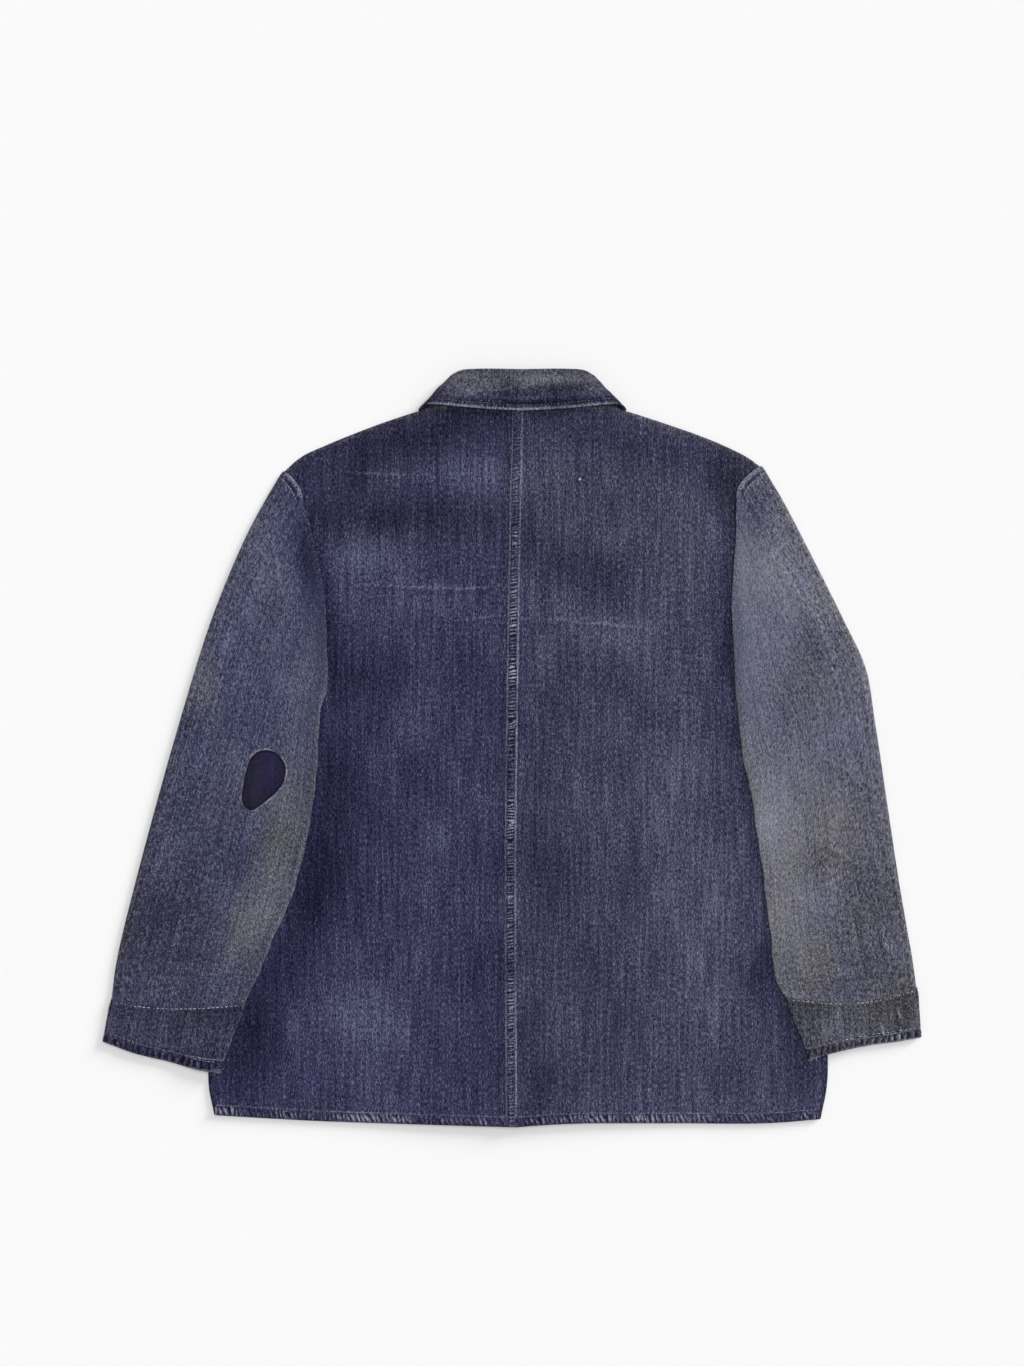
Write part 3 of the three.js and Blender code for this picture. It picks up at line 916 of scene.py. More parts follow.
@dataclass(frozen=True)
class Thread:
    """A finish of old cotton sewing thread."""

    name: str
    colour: Colour = srgb(172, 170, 186)
    soiled: Colour = srgb(92, 90, 114)

    def material(self) -> Material:
        """Make the finish.

        Returns:
            The material.
        """
        made, net, shader = blank(self.name)
        place = net.add("TexCoord").outputs["Object"]
        uneven = net.noise(net.stretched(place, (55, 55, 55)), 2.0)
        near = net.noise(net.stretched(place, (420, 420, 420)), 1.0)
        share = net.eased(net.sum_of(uneven, near), -0.22, 0.2)
        net.feed(shader.inputs["Base Color"], net.blend(share, self.soiled, self.colour))
        twist = net.add("TexWave", wave_type="BANDS", bands_direction="DIAGONAL", Scale=900.0, Vector=place)
        net.bumped(shader, 0.4, 0.0001, twist.outputs["Fac"])
        net.feed(shader.inputs["Roughness"], net.eased(near, -0.3, 0.3, 0.7, 0.9))
        shader.inputs["Specular IOR Level"].default_value = 0.2
        return made


@dataclass(frozen=True)
class Horn:
    """A finish of dark horn with paler streaks."""

    name: str
    dark: Colour = srgb(38, 31, 26)
    light: Colour = srgb(86, 70, 54)

    def material(self) -> Material:
        """Make the finish.

        Returns:
            The material.
        """
        made, net, shader = blank(self.name)
        place = net.add("TexCoord").outputs["Object"]
        grain = net.noise(net.stretched(place, (90, 420, 90)), 3.0)
        net.feed(shader.inputs["Base Color"], net.blend(net.eased(grain, -0.15, 0.3), self.dark, self.light))
        worn = net.noise(net.stretched(place, (900, 900, 900)), 2.0)
        net.feed(shader.inputs["Roughness"], net.eased(worn, -0.3, 0.3, 0.32, 0.55))
        net.bumped(shader, 0.15, 0.0002, grain)
        return made


@dataclass(frozen=True)
class Paper:
    """A finish of plain pale studio paper."""

    name: str
    colour: Colour = (0.93, 0.93, 0.93)

    def material(self) -> Material:
        """Make the finish.

        Returns:
            The material.
        """
        made, _, shader = blank(self.name)
        shader.inputs["Base Color"].default_value = (*self.colour, 1.0)
        shader.inputs["Roughness"].default_value = 1.0
        shader.inputs["Specular IOR Level"].default_value = 0.0
        return made


@dataclass(frozen=True)
class Side:
    """The outlines of one half of the jacket, seen from above."""

    sign: int
    hem: Points
    side: Points
    shoulder: Points
    sleeve_seam: Points
    sleeve_outer: Points
    sleeve_inner: Points
    cuff_seam: Points
    cuff_edge: Points

    def word(self) -> str:
        """Return the half's name in piece names."""
        return "left" if self.sign < 0 else "right"

    def armhole(self) -> list[tuple[float, float]]:
        """Return the body's armhole edge, from the sleeve's fold up to the shoulder."""
        inset = [1.6] * (len(self.sleeve_seam) - 1) + [0.2]
        return [(x - self.sign * d, y) for (x, y), d in zip(self.sleeve_seam, inset)][::-1]

    def outside_body(self, x: Grid, y: Grid) -> Grid:
        """Measure how far points lie outside the body's edge below the armhole.

        Args:
            x, y: The points' places.

        Returns:
            The distances, below zero inside.
        """
        (arm_x, arm_y), (fold_x, fold_y) = self.side[-1], self.armhole()[0]
        slant = math.cos(math.atan2(arm_x - fold_x, fold_y - arm_y))
        above = self.sign * (x - lerp(arm_x, fold_x, (y - arm_y) / (fold_y - arm_y))) * abs(slant)
        edge = np.array(self.side)
        below = self.sign * (x - np.interp(y, edge[:, 1], edge[:, 0]))
        return np.where(y >= arm_y, above, below)


LEFT = Side(
    sign=-1,
    hem=((4, -378), (-54, -376.5), (-188, -372.5), (-297, -366.5)),
    side=((-297, -366.5), (-303, -330), (-284, -153), (-262, 35)),
    shoulder=((-211, 289.5), (-186, 301.5), (-138, 320.6), (-105, 331.8), (-92, 335.8), (-82, 339.4)),
    sleeve_seam=((-230, 274), (-216.5, 257.5), (-207.5, 232), (-197.5, 192), (-190.5, 157), (-186, 113)),
    sleeve_outer=(
        (-230, 274), (-246, 247), (-267, 207), (-300, 127),
        (-337, 7), (-370, -113), (-393, -206), (-401, -254),
    ),
    sleeve_inner=(
        (-186, 113), (-185, 62), (-191, 38), (-197, -43),
        (-202, -73), (-215, -133), (-235, -183), (-267, -256.5),
    ),
    cuff_seam=((-401, -254), (-371, -259), (-342, -261), (-305, -260), (-267, -256.5)),
    cuff_edge=((-408, -293), (-376, -304.5), (-343, -312.5), (-310, -321.5), (-293, -323.5)),
)
RIGHT = Side(
    sign=1,
    hem=((4, -378), (24, -376.5), (63, -374.5), (160, -374.5), (254, -374.5), (308, -370.5)),
    side=((308, -370.5), (315, -328), (303, -153), (285, 35)),
    shoulder=((235, 289.5), (211, 301.5), (181, 313.5), (126, 331.8), (113, 335.8), (103.5, 339.4)),
    sleeve_seam=((251, 279), (230, 257.5), (226, 207), (222.5, 157), (221, 113)),
    sleeve_outer=(
        (251, 279), (270, 247), (291, 207), (331, 127), (353, 79),
        (362, 27), (374, -53), (386, -133), (405, -242),
    ),
    sleeve_inner=((221, 113), (224, 57), (230, -3), (240, -53), (255, -158), (265, -236), (274, -251)),
    cuff_seam=((405, -242), (364, -253), (333, -256), (300, -254), (274, -251)),
    cuff_edge=((408, -288.5), (385, -292.5), (356, -296.5), (317, -304.5), (298, -311)),
)

# Soft folds that the part's source has too: both ends, width and height
BACK_FOLDS = (
    ((-150, 158), (20, 164), 24, 0.9), ((-60, 128), (150, 120), 26, 0.9), ((-190, 272), (-70, 276), 24, 0.7),
    ((-120, -80), (-60, -300), 40, 0.8), ((120, -60), (90, -310), 44, 0.8), ((150, 100), (205, 60), 26, 0.8),
)
SLEEVE_FOLDS = (
    ((-262, 190), (-225, 90), 26, 1.0), ((-325, 20), (-225, 56), 24, 1.2),
    ((-350, -120), (-250, -90), 28, 1.0), ((-375, -215), (-290, -180), 24, 0.9),
    ((263, 190), (320, 105), 24, 1.1), ((300, 0), (362, -24), 26, 1.2),
    ((285, -70), (360, -110), 28, 1.0), ((300, -205), (390, -210), 24, 0.9),
)
# Pressed creases and rubbed lines: points, width, height and rub
BACK_CREASES = (
    Crease(((-172, 166), (-110, 161), (-50, 159), (12, 163)), 5, 0.75, 0.52),
    Crease(((-60, 125), (-20, 131), (12, 132)), 5, 0.55, 0.45),
    Crease(((-4, 131), (50, 127), (105, 122), (172, 118)), 5, 0.8, 0.46),
    Crease(((-186, 277), (-130, 273), (-72, 271)), 6, 0.6, 0.4),
    Crease(((165, 92), (185, 90), (202, 86)), 4.5, 0.5, 0.36),
    Crease(((-175, 196), (-120, 204), (-60, 198), (-10, 186)), 16, 0.8, 0.12),
    Crease(((30, 210), (90, 196), (160, 204)), 18, 0.7, 0.08),
    Crease(((-150, 60), (-110, 20), (-85, -50)), 18, 0.6, 0.08),
    Crease(((-215, -190), (-160, -215), (-90, -220)), 14, 0.6, 0.1),
    Crease(((70, -100), (120, -120), (200, -110)), 16, 0.6, 0.1),
    Crease(((-240, -260), (-170, -290), (-80, -300)), 16, 0.7, 0.1),
    Crease(((60, -240), (150, -262), (250, -250)), 18, 0.7, 0.1),
    Crease(((-95, 20), (-40, 28), (0, 22)), 12, -0.4, 0.0),
    Crease(((60, 20), (120, 10), (190, 24)), 12, -0.4, 0.0),
)
SLEEVE_CREASES = (
    Crease(((-246, 232), (-236, 190), (-224, 130)), 9, 0.8, 0.42),
    Crease(((-282, 160), (-262, 120), (-232, 96)), 10, 0.9, 0.2),
    Crease(((-316, 50), (-270, 62), (-222, 54)), 9, 0.9, 0.2),
    Crease(((-338, -30), (-300, -18), (-262, -26)), 9, 0.7, 0.15),
    Crease(((-356, -90), (-310, -78), (-262, -96)), 10, 0.9, 0.2),
    Crease(((-368, -150), (-320, -150), (-270, -165)), 10, 0.8, 0.2),
    Crease(((-384, -206), (-340, -196), (-300, -204)), 8, 0.8, 0.25),
    Crease(((264, 188), (290, 150), (318, 108)), 6, 0.8, 0.55),
    Crease(((244, 200), (256, 150), (262, 90)), 10, 0.8, 0.2),
    Crease(((300, -6), (330, -20), (356, -44)), 6, 0.9, 0.5),
    Crease(((288, -86), (318, -98), (350, -120)), 7, 0.9, 0.5),
    Crease(((330, 40), (345, 10), (360, -10)), 8, 0.7, 0.3),
    Crease(((352, -180), (372, -196), (388, -216), (399, -240)), 4.5, 0.8, 0.55),
    Crease(((280, -150), (320, -165), (368, -160)), 10, 0.8, 0.2),
    Crease(((295, -222), (330, -228), (362, -226)), 7, 0.7, 0.3),
)
CUFF_CREASES = (
    Crease(((367, -270), (370, -282), (373, -293)), 2.6, 0.3, 0.6),
    Crease(((383, -259), (387, -267), (391, -277)), 2.6, 0.3, 0.6),
    Crease(((323, -255), (325, -265), (324, -274)), 2.4, 0.25, 0.45),
    Crease(((345, -258), (349, -276), (345, -292)), 4.0, -0.3, 0.0),
    Crease(((-386, -262), (-380, -278), (-382, -294)), 3.0, 0.3, 0.4),
    Crease(((-352, -266), (-345, -284), (-348, -300)), 4.0, 0.3, 0.35),
    Crease(((-318, -268), (-312, -290), (-316, -312)), 4.0, -0.3, 0.0),
    Crease(((-300, -266), (-304, -280), (-300, -296)), 2.6, 0.25, 0.35),
)
# Faded, dark and grey places: x, y, half sizes, turn, tone and grey. Some dark ones beside the sleeves are
# painted shade.
# the dark blots at x -205 to -180 and 214 to 222, along the sleeves' inner edges and the armhole seams, are
# painted shade beside the sleeves
BACK_BLOTS = (
    Blot(-95, 308, 105, 26, 18, -0.24, 0.3), Blot(125, 303, 100, 24, -16, -0.14, 0.15),
    Blot(-110, 228, 130, 22, 0, -0.17, 0.25), Blot(-45, 272, 70, 20, 0, 0.13),
    Blot(-140, 190, 50, 26, 0, 0.24), Blot(-192, 168, 12, 60, 6, -0.26), Blot(-90, 146, 100, 16, 0, 0.1),
    Blot(-150, 75, 45, 32, 0, -0.2), Blot(-180, -40, 38, 100, 0, -0.15),
    Blot(-200, -110, 26, 70, -10, -0.2), Blot(-205, -170, 30, 60, -25, -0.15),
    Blot(-262, -290, 34, 80, -15, -0.32), Blot(-150, -275, 75, 40, 0, 0.15),
    Blot(-70, -92, 35, 30, 0, 0.08), Blot(-30, -235, 30, 50, 0, -0.05), Blot(-55, 30, 80, 60, 0, -0.04),
    Blot(55, 182, 50, 24, -10, -0.12), Blot(165, 190, 45, 55, 0, 0.1, 0.25),
    Blot(110, 115, 60, 18, -3, 0.12), Blot(190, -170, 45, 110, 0, 0.1), Blot(208, -255, 30, 40, 0, 0.08),
    Blot(48, -135, 28, 45, 0, -0.14), Blot(214, 60, 12, 110, 0, -0.1), Blot(248, -225, 18, 45, -10, -0.2),
    Blot(48, -335, 26, 24, 0, -0.1), Blot(100, 240, 110, 60, 0, 0.05, 0.3),
    Blot(222, 262, 26, 36, 0, -0.2, 0.35), Blot(219, 205, 11, 55, 0, -0.18, 0.1),
    Blot(120, -40, 90, 80, 0, 0.03, 0.15), Blot(24, -80, 28, 60, 0, -0.14),
    Blot(-30, -108, 44, 24, 0, -0.1), Blot(22, -310, 20, 56, 0, -0.13), Blot(-182, 96, 16, 62, 0, -0.13),
    Blot(20, 207, 16, 22, 0, -0.08), Blot(288, -300, 24, 62, -6, -0.15),
)
SLEEVE_BLOTS = (
    Blot(-248, 190, 34, 80, 20, 0.14, 0.1), Blot(-270, 25, 40, 30, 0, -0.06),
    # Blot(-204, 185) is painted shade along the left armhole seam
    Blot(-204, 185, 11, 60, 10, -0.26), Blot(-340, -190, 90, 90, 0, -0.06, 0.35),
    Blot(-282, -60, 40, 50, 0, 0.07, 0.25), Blot(-232, -90, 26, 80, -12, 0.2, 0.9),
    Blot(-262, -175, 26, 52, -25, 0.2, 0.9), Blot(-350, -170, 30, 70, 0, -0.08),
    Blot(-306, 60, 16, 40, 10, 0.14, 0.5), Blot(-338, -112, 20, 26, 0, 0.13, 0.2),
    Blot(-262, -112, 20, 22, 0, -0.1), Blot(-300, 8, 18, 20, 0, -0.08),
    Blot(-205, 60, 14, 60, 0, 0.08, 0.2), Blot(262, 180, 46, 40, 0, 0.2, 0.3),
    Blot(245, -40, 26, 60, -6, 0.16, 0.4), Blot(276, -130, 30, 110, -8, 0.2, 0.75),
    Blot(300, 60, 34, 50, 0, 0.03, 0.4), Blot(325, -238, 60, 20, 0, -0.1, 0.3),
    Blot(352, -165, 40, 80, 0, -0.05, 0.5), Blot(308, 146, 26, 34, -40, 0.14, 0.35),
    Blot(258, -78, 22, 34, -6, 0.2, 0.3), Blot(376, -240, 36, 34, 0, 0.02, 0.6),
    Blot(320, -90, 40, 60, 0, 0.02, 0.9), Blot(300, -215, 30, 40, 0, 0.08, 0.9),
    Blot(240, 240, 20, 26, 0, -0.14), Blot(244, 90, 16, 50, 0, 0.1), Blot(300, -114, 20, 24, 0, -0.12),
    Blot(330, 100, 40, 60, 0, 0.04, 0.2),
)
FELL = ((4, -378), (3, -120), (4, -8), (7, 190), (10.5, 345))  # the felled seam's edge


@dataclass(frozen=True)
class Layers:
    """The heights that the body's layers take up, as in the part's source."""

    cloth: float = 1.2
    gap: float = 0.5  # between front and back
    ride: float = 3.6  # a sleeve's underside over the body
    step_up: float = 1.55  # of the left half of the back over the right one
    fell: Line = field(default_factory=lambda: Line.through(FELL))

    def middle_at(self, y: Grid) -> Grid:
        """Return the x of the body's middle at a height up the body."""
        return lerp(4.0, 10.5, (y + 378.0) / 723.0)

    def fell_at(self, y: Grid) -> Grid:
        """Return the x of the felled seam's stitched edge."""
        return np.interp(y, self.fell.points[:, 1], self.fell.points[:, 0])

    def aside(self, x: Grid, y: Grid) -> Grid:
        """Return how far points lie from the body's middle."""
        return np.abs(x - self.middle_at(y))

    def neck_lift(self, x: Grid, y: Grid) -> Grid:
        """Return the lift that the collar's points give to the layers over them."""
        return 2.3 * ease(y, 150, 205) * (1 - ease(self.aside(x, y), 112, 175))

    def placket(self, x: Grid, y: Grid) -> Grid:
        """Return the lift of the fronts over the row of buttons."""
        along = ease(y, -330, -250) * (1 - ease(y, 228, 262))
        return 2.3 * along * (1 - ease(self.aside(x, y), 30, 75))

    def crown(self, x: Grid, y: Grid) -> Grid:
        """Return the rise of the back over the lapped fronts."""
        return 4.0 * (1 - 0.68 * ease(y, 275, 335)) * (1 - ease(self.aside(x, y), 14, 190))

    def folds(self, folds: tuple, x: Grid, y: Grid) -> Grid:
        """Add up soft folds at points in plan.

        Args:
            folds: Each fold's two ends, width and height.
            x, y: The points' places.

        Returns:
            Their summed height.
        """
        total = np.zeros(np.shape(x))
        for (ax, ay), (bx, by), width, height in folds:
            run = bx - ax, by - ay
            share = np.clip(((x - ax) * run[0] + (y - ay) * run[1]) / (run[0] ** 2 + run[1] ** 2), 0, 1)
            away = np.hypot(x - ax - share * run[0], y - ay - share * run[1])
            total += height * np.sin(np.pi * lerp(0.1, 0.9, share)) * (1 - ease(away, 0, width))
        return total

    def front_left(self, x: Grid, y: Grid) -> Grid:
        """Return the underside of the left front."""
        return self.neck_lift(x, y) + self.placket(x, y)

    def front_right(self, x: Grid, y: Grid) -> Grid:
        """Return the underside of the right front, which lies over the left one at the middle."""
        lift = lerp(2.0, 1.2, ease(y, -356, -323)) + 0.3
        return self.front_left(x, y) + lift * (1 - ease(x - self.middle_at(y) - 12, 20, 60))

    def back_right(self, x: Grid, y: Grid) -> Grid:
        """Return the underside of the right half of the back."""
        flat = self.cloth + self.gap + self.neck_lift(x, y) + self.crown(x, y)
        return flat + self.folds(BACK_FOLDS, x, y)

    def back_left(self, x: Grid, y: Grid) -> Grid:
        """Return the underside of the left half, which laps over the right one at the felled seam."""
        edge = self.fell_at(y)
        return self.back_right(x, y) + self.step_up * ease(x, edge - 18, edge - 11.6)

    def back_top(self, x: Grid, y: Grid) -> Grid:
        """Return the top of the back away from the felled seam."""
        return self.back_right(x, y) + self.cloth

    def riding(self, side: Side, x: Grid, y: Grid) -> Grid:
        """Return 1 where a sleeve lies on the body and 0 where it lies beside it."""
        return 1 - ease(side.outside_body(x, y), 9, 36)


LAYERS = Layers()


class Puckers:
    """The ropy ripples that shrunk thread draws into a turned edge."""

    REACH = 1200  # longer than any edge
    DRIFT = 14.0  # how far apart the pitch and the strength change

    def __init__(self, rng: Rng, pitch: float, slant: float, jitter: float = 0.0) -> None:
        """Draw the ripples' uneven places.

        Args:
            rng: The source of the differences.
            pitch: The usual distance between two ripples.
            slant: How far a ripple leans, in pitches over the edge's depth.
            jitter: How far single ripples stray, in pitches.
        """
        self.pitch, self.slant = pitch, slant
        self.near = np.arange(0, self.REACH, 0.9 * pitch)
        self.stray = rng.normal(0, 1, len(self.near)) * jitter
        self.lean = 1 + rng.normal(0, 6, len(self.near)) * jitter
        self.heft = 1 + rng.uniform(-2.2, 1.4, len(self.near)) * jitter
        self.places = np.arange(0, self.REACH, self.DRIFT)
        self.wander = rng.normal(0, 0.55, len(self.places)).cumsum() * 0.45
        self.strength = np.clip(rng.normal(0.8, 0.25, len(self.places)), 0.4, 1.25)

    def ripple(self, along: Grid, share: Grid) -> Grid:
        """Work out the ripples of an edge.

        Args:
            along: Distances along the edge.
            share: Shares of its depth.

        Returns:
            The ripples there, about zero and about one high.
        """
        turn = along / self.pitch + np.interp(along, self.places, self.wander)
        turn = turn + np.interp(along, self.near, self.stray)
        turn = turn + self.slant * share * np.interp(along, self.near, self.lean)
        wave = np.sin(2 * np.pi * turn) + 0.35 * np.sin(4 * np.pi * turn + 0.8)
        return wave * np.interp(along, self.places, self.strength) * np.interp(along, self.near, self.heft)


@dataclass
class Cut:
    """The flat cut of a piece, as a sheet."""

    width: float
    length: float
    area: float


@dataclass
class Piece:
    """A finished piece with what it stands for."""

    made: Thing
    slot: str
    node: str = ""
    cut: Cut | None = None
    rests_on: tuple[str, ...] = ()
    sewing: list[Thing] = field(default_factory=list)

    def declare(self) -> None:
        """Ride the piece and its sewing on the frame, and hide the part that it stands for."""
        for piece in [self.made, *self.sewing]:
            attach(piece, "root")
        if self.node:
            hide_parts(self.node)
        LOG.info("%s: %d faces, %d sewn on", self.made.name, len(self.made.data.polygons), len(self.sewing))


@dataclass
class Body:
    """The two halves of the back and the two fronts, with the felled seam and the hems."""

    finish: Material
    step: float = 2.8
    hidden_step: float = 5.0
    width: float = 300.0  # of a panel, about
    back_length: float = 716.0
    front_length: float = 660.0
    hem_depth: float = 10.5
    hem_cloth: float = 0.75
    hem_stitches: float = 9.3  # up from the edge
    hem_rise: float = 0.8  # of the cloth over what is turned in
    fell_width: float = 11.0
    fell_ends: tuple[float, float] = (-377.4, 343.0)
    fold_roll: float = 2.6
    lap: float = 12.0  # how far each front passes the middle
    neck_middle: float = 10.5
    neck_height: float = 344.1
    neck_seam: Points = ((5.5, 267.6), (47.5, 281), (78, 312))  # of a front, from its middle

    MIDDLE_NEAR = (0.6, 1.6)  # distances of the closest rows at a middle edge or a hem
    HEM_LOW = -377.0  # the hem's y at the middle

    def outline(self, side: Side, neck: Points) -> tuple[Line, Line]:
        """Find the edges that a back half and a front share.

        Args:
            side: Which half.
            neck: The neck's points, from the middle to the shoulder.

        Returns:
            The top edge and the side edge.
        """
        armhole = side.armhole()
        top = Line.joined(neck, [*side.shoulder[::-1], armhole[-1]])
        return top, Line.joined(side.side, [side.side[-1], armhole[0]], armhole)

    def back_plan(self, side: Side, u: Grid, v: Grid) -> Grid:
        """Lay out a back half in plan.

        Args:
            side: Which half.
            u: Shares from its middle edge to the side.
            v: Shares from the hem to the neck.

        Returns:
            Its points in plan.
        """
        inset = 0.0 if side.sign < 0 else self.fell_width
        middle = [(x - inset, min(y, self.neck_height)) for x, y in FELL]
        neck_point = side.shoulder[-1]
        neck = [middle[-1], ((middle[-1][0] + neck_point[0]) / 2, self.neck_height), neck_point]
        top, edge = self.outline(side, neck)
        hem = Line.through([middle[0], *side.hem[1:]])
        return patch_between(hem, top, Line.through(middle), edge, u, v)

    def front_plan(self, side: Side, u: Grid, v: Grid) -> Grid:
        """Lay out a front in plan.

        Args:
            side: Which half.
            u: Shares from its middle edge to the side.
            v: Shares from the hem to the neck.

        Returns:
            Its points in plan.
        """
        middle = [(float(LAYERS.middle_at(y)) - side.sign * self.lap, y) for y in (self.HEM_LOW, 0.0, 264.5)]
        seam = [(self.neck_middle + side.sign * (x + 1.5), y - 1.9) for x, y in self.neck_seam]
        top, edge = self.outline(side, [middle[-1], *seam, side.shoulder[-1]])
        hem = Line.through([middle[0], *side.hem[2:]])
        return patch_between(hem, top, Line.through(middle), edge, u, v)

    def shell(self, plan: Grid, side: Side, low: Callable, other: Callable, is_back: bool) -> Cloth:
        """Make one panel: its height, its folded edges and its marks.

        Args:
            plan: The panel in plan.
            side: The half that it belongs to.
            low: Gives the panel's underside.
            other: Gives the underside of the panel that it is joined to at the side.
            is_back: Whether it is a half of the back.

        Returns:
            The panel's cloth.
        """
        x, y = plan[..., 0], plan[..., 1]
        from_hem = np.linalg.norm(plan - plan[:1], axis=-1)
        from_side = np.linalg.norm(plan - plan[:, -1:], axis=-1)
        from_top = np.linalg.norm(plan - plan[-1:], axis=-1)
        half = LAYERS.cloth / 2
        height = low(x, y) + half + self.hem_rise * (1 - ease(from_hem, self.hem_depth, 46))
        height_crease, rub = creased(BACK_CREASES, x, y)
        calm = ease(from_side, 2, 26) * ease(from_top, 2, 26) * ease(from_hem, 8, 30)
        calm *= ease(np.abs(x - LAYERS.fell_at(y) + 5.5), 9, 26)
        if is_back:
            height += height_crease * calm
        else:
            height += 0.35 * np.abs(height_crease) * calm * (1 - ease(LAYERS.aside(x, y), 60, 120))
        meet = (height + other(x, y) + half) / 2 + (0.04 if is_back else -0.04)
        side_fold = 1 - ease(y, 5, 30)
        top_fold = ease(LAYERS.aside(x, y), 90, 104)
        for away, weight in ((from_side, side_fold), (from_top, top_fold)):
            near = np.clip(1 - away / self.fold_roll, 0, 1)
            height = lerp(height, meet, weight * (1 - np.sqrt(1 - near**2)))
        tone, grey = blotted(BACK_BLOTS, x, y)
        tone += (-0.02 if side.sign < 0 else 0.03) + (0.0 if is_back else 0.05)
        # paler along the top edge; darker along the side edge, which is painted shade where the cloth rolls
        # away from the light
        tone += 0.14 * bell(from_top, 3.0) - 0.16 * bell(from_side, 3.0)
        grey = grey + 0.4 * bell(from_top, 7.0) + (0.02 if side.sign < 0 else 0.16)
        marks = {"tone": tone, "grey": grey, "rub": rub}
        wall = np.full(x.shape, LAYERS.cloth)
        return Cloth(np.dstack([plan, height]), wall, plan, marks, bulge=(1.0, 0.3, 1.0, 0.0))

    def back(self, side: Side) -> Piece:
        """Make a half of the back.

        Args:
            side: Which half.

        Returns:
            The piece.
        """
        near = (0.3, 0.8, 1.5, 2.5, 4.0)
        u = graded(self.width, self.step, self.MIDDLE_NEAR, near)
        v = graded(self.back_length, self.step, self.MIDDLE_NEAR, near)
        low = LAYERS.back_left if side.sign < 0 else LAYERS.back_right
        front = LAYERS.front_left if side.sign < 0 else LAYERS.front_right
        cloth = self.shell(self.back_plan(side, u, v), side, low, front, True)
        node = f"back_{side.word()}"
        made = cloth.build(f"{node}_cloth", self.finish)
        return Piece(made, "body_denim", node, Cut(340, 760, 203000), (f"front_{side.word()}",))

    def front(self, side: Side) -> Piece:
        """Make a front.

        Args:
            side: Which half.

        Returns:
            The piece.
        """
        near = (0.4, 1.2, 2.6)
        u = graded(self.width, self.hidden_step, self.MIDDLE_NEAR, near)
        v = graded(self.front_length, self.hidden_step, self.MIDDLE_NEAR, near)
        low = LAYERS.front_left if side.sign < 0 else LAYERS.front_right
        cloth = self.shell(self.front_plan(side, u, v), side, low, LAYERS.back_right, False)
        node = f"front_{side.word()}"
        made = cloth.build(f"{node}_cloth", self.finish)
        return Piece(made, "body_denim", node, Cut(340, 720, 195000), ("floor",))

    def felled_seam(self, rng: Rng) -> Thing:
        """Make the raised ropy band of the felled seam down the back.

        Args:
            rng: The source of the ripples' differences.

        Returns:
            The band's object.
        """
        depth = np.array([-0.4, 0.3, 1.0, 1.8, 2.8, 3.9, 5.1, 6.3, 7.5, 8.6, 9.6, 10.5, 11.2, 11.7])
        along = np.linspace(*self.fell_ends, 1400)
        away, y = np.meshgrid(depth, along)
        x = LAYERS.fell_at(y) + 0.8 - away
        share = np.clip(away / self.fell_width, 0, 1)
        ripple = Puckers(rng, 3.5, 0.6, 0.16).ripple(y + 400, share)
        window = np.sin(np.pi * np.clip((away - 0.6) / 9.6, 0, 1)) ** 0.8
        top = LAYERS.back_right(x, y) + LAYERS.step_up + LAYERS.cloth
        top = top + self.hem_rise * (1 - ease(y + 378, 10, 46))
        height = top + 0.45 + (0.24 * ripple + 0.2) * window
        right = np.clip(1 - (away + 0.4) / 2.0, 0, 1)
        height -= 1.5 * (1 - np.sqrt(1 - right**2))
        height -= 0.5 * ease(away, 10.2, 11.7)
        for groove in (1.6, 10.0):
            height -= 0.22 * bell(away - groove, 0.55)
        tone, grey = blotted(BACK_BLOTS, x, y)
        cloudy = np.interp(y, np.arange(-400, 380, 26.0), rng.uniform(0.35, 1.0, 30))
        cloudy *= lerp(0.8, 1.15, bell(y - 140, 90))
        cloudy *= 1 - 0.5 * ease(y, 235, 300)
        clear = lerp(0.7, 1.0, ease(y, -300, -200)) * lerp(1.0, 0.6, ease(y, 130, 250))
        rub = strongest(
            1.2 * np.clip(ripple, 0, 1) * window * (0.3 + cloudy) * clear,  # the ripples' crests
            (0.3 + 0.45 * cloudy) * bell(away - 0.5, 0.8),  # and both edges
            (0.15 + 0.6 * cloudy) * bell(away - 10.4, 0.9),
        )
        dark = 0.55 * np.clip(0.2 - ripple, 0, 1) * window * clear**2
        marks = {"tone": tone - dark, "grey": grey + 0.05, "rub": rub}
        wall, weave = np.full(x.shape, 0.7), np.dstack([x, y])
        cloth = Cloth(np.dstack([x, y, height]), wall, weave, marks, bulge=(1.0, 1.0, 0.5, 0.5))
        return cloth.build("felled_seam", self.finish)

    def hem_line(self, front: Side | None = None) -> Line:
        """Find the hem's edge.

        Args:
            front: The half whose front it is, or None for the whole back.

        Returns:
            The edge, of the back from left to right and of a front from its middle.
        """
        if front is None:
            return Line.joined([*LEFT.hem[::-1]], [*RIGHT.hem])
        middle = (float(LAYERS.middle_at(self.HEM_LOW)) - front.sign * self.lap, self.HEM_LOW)
        return Line.through([middle, *front.hem[2:]])

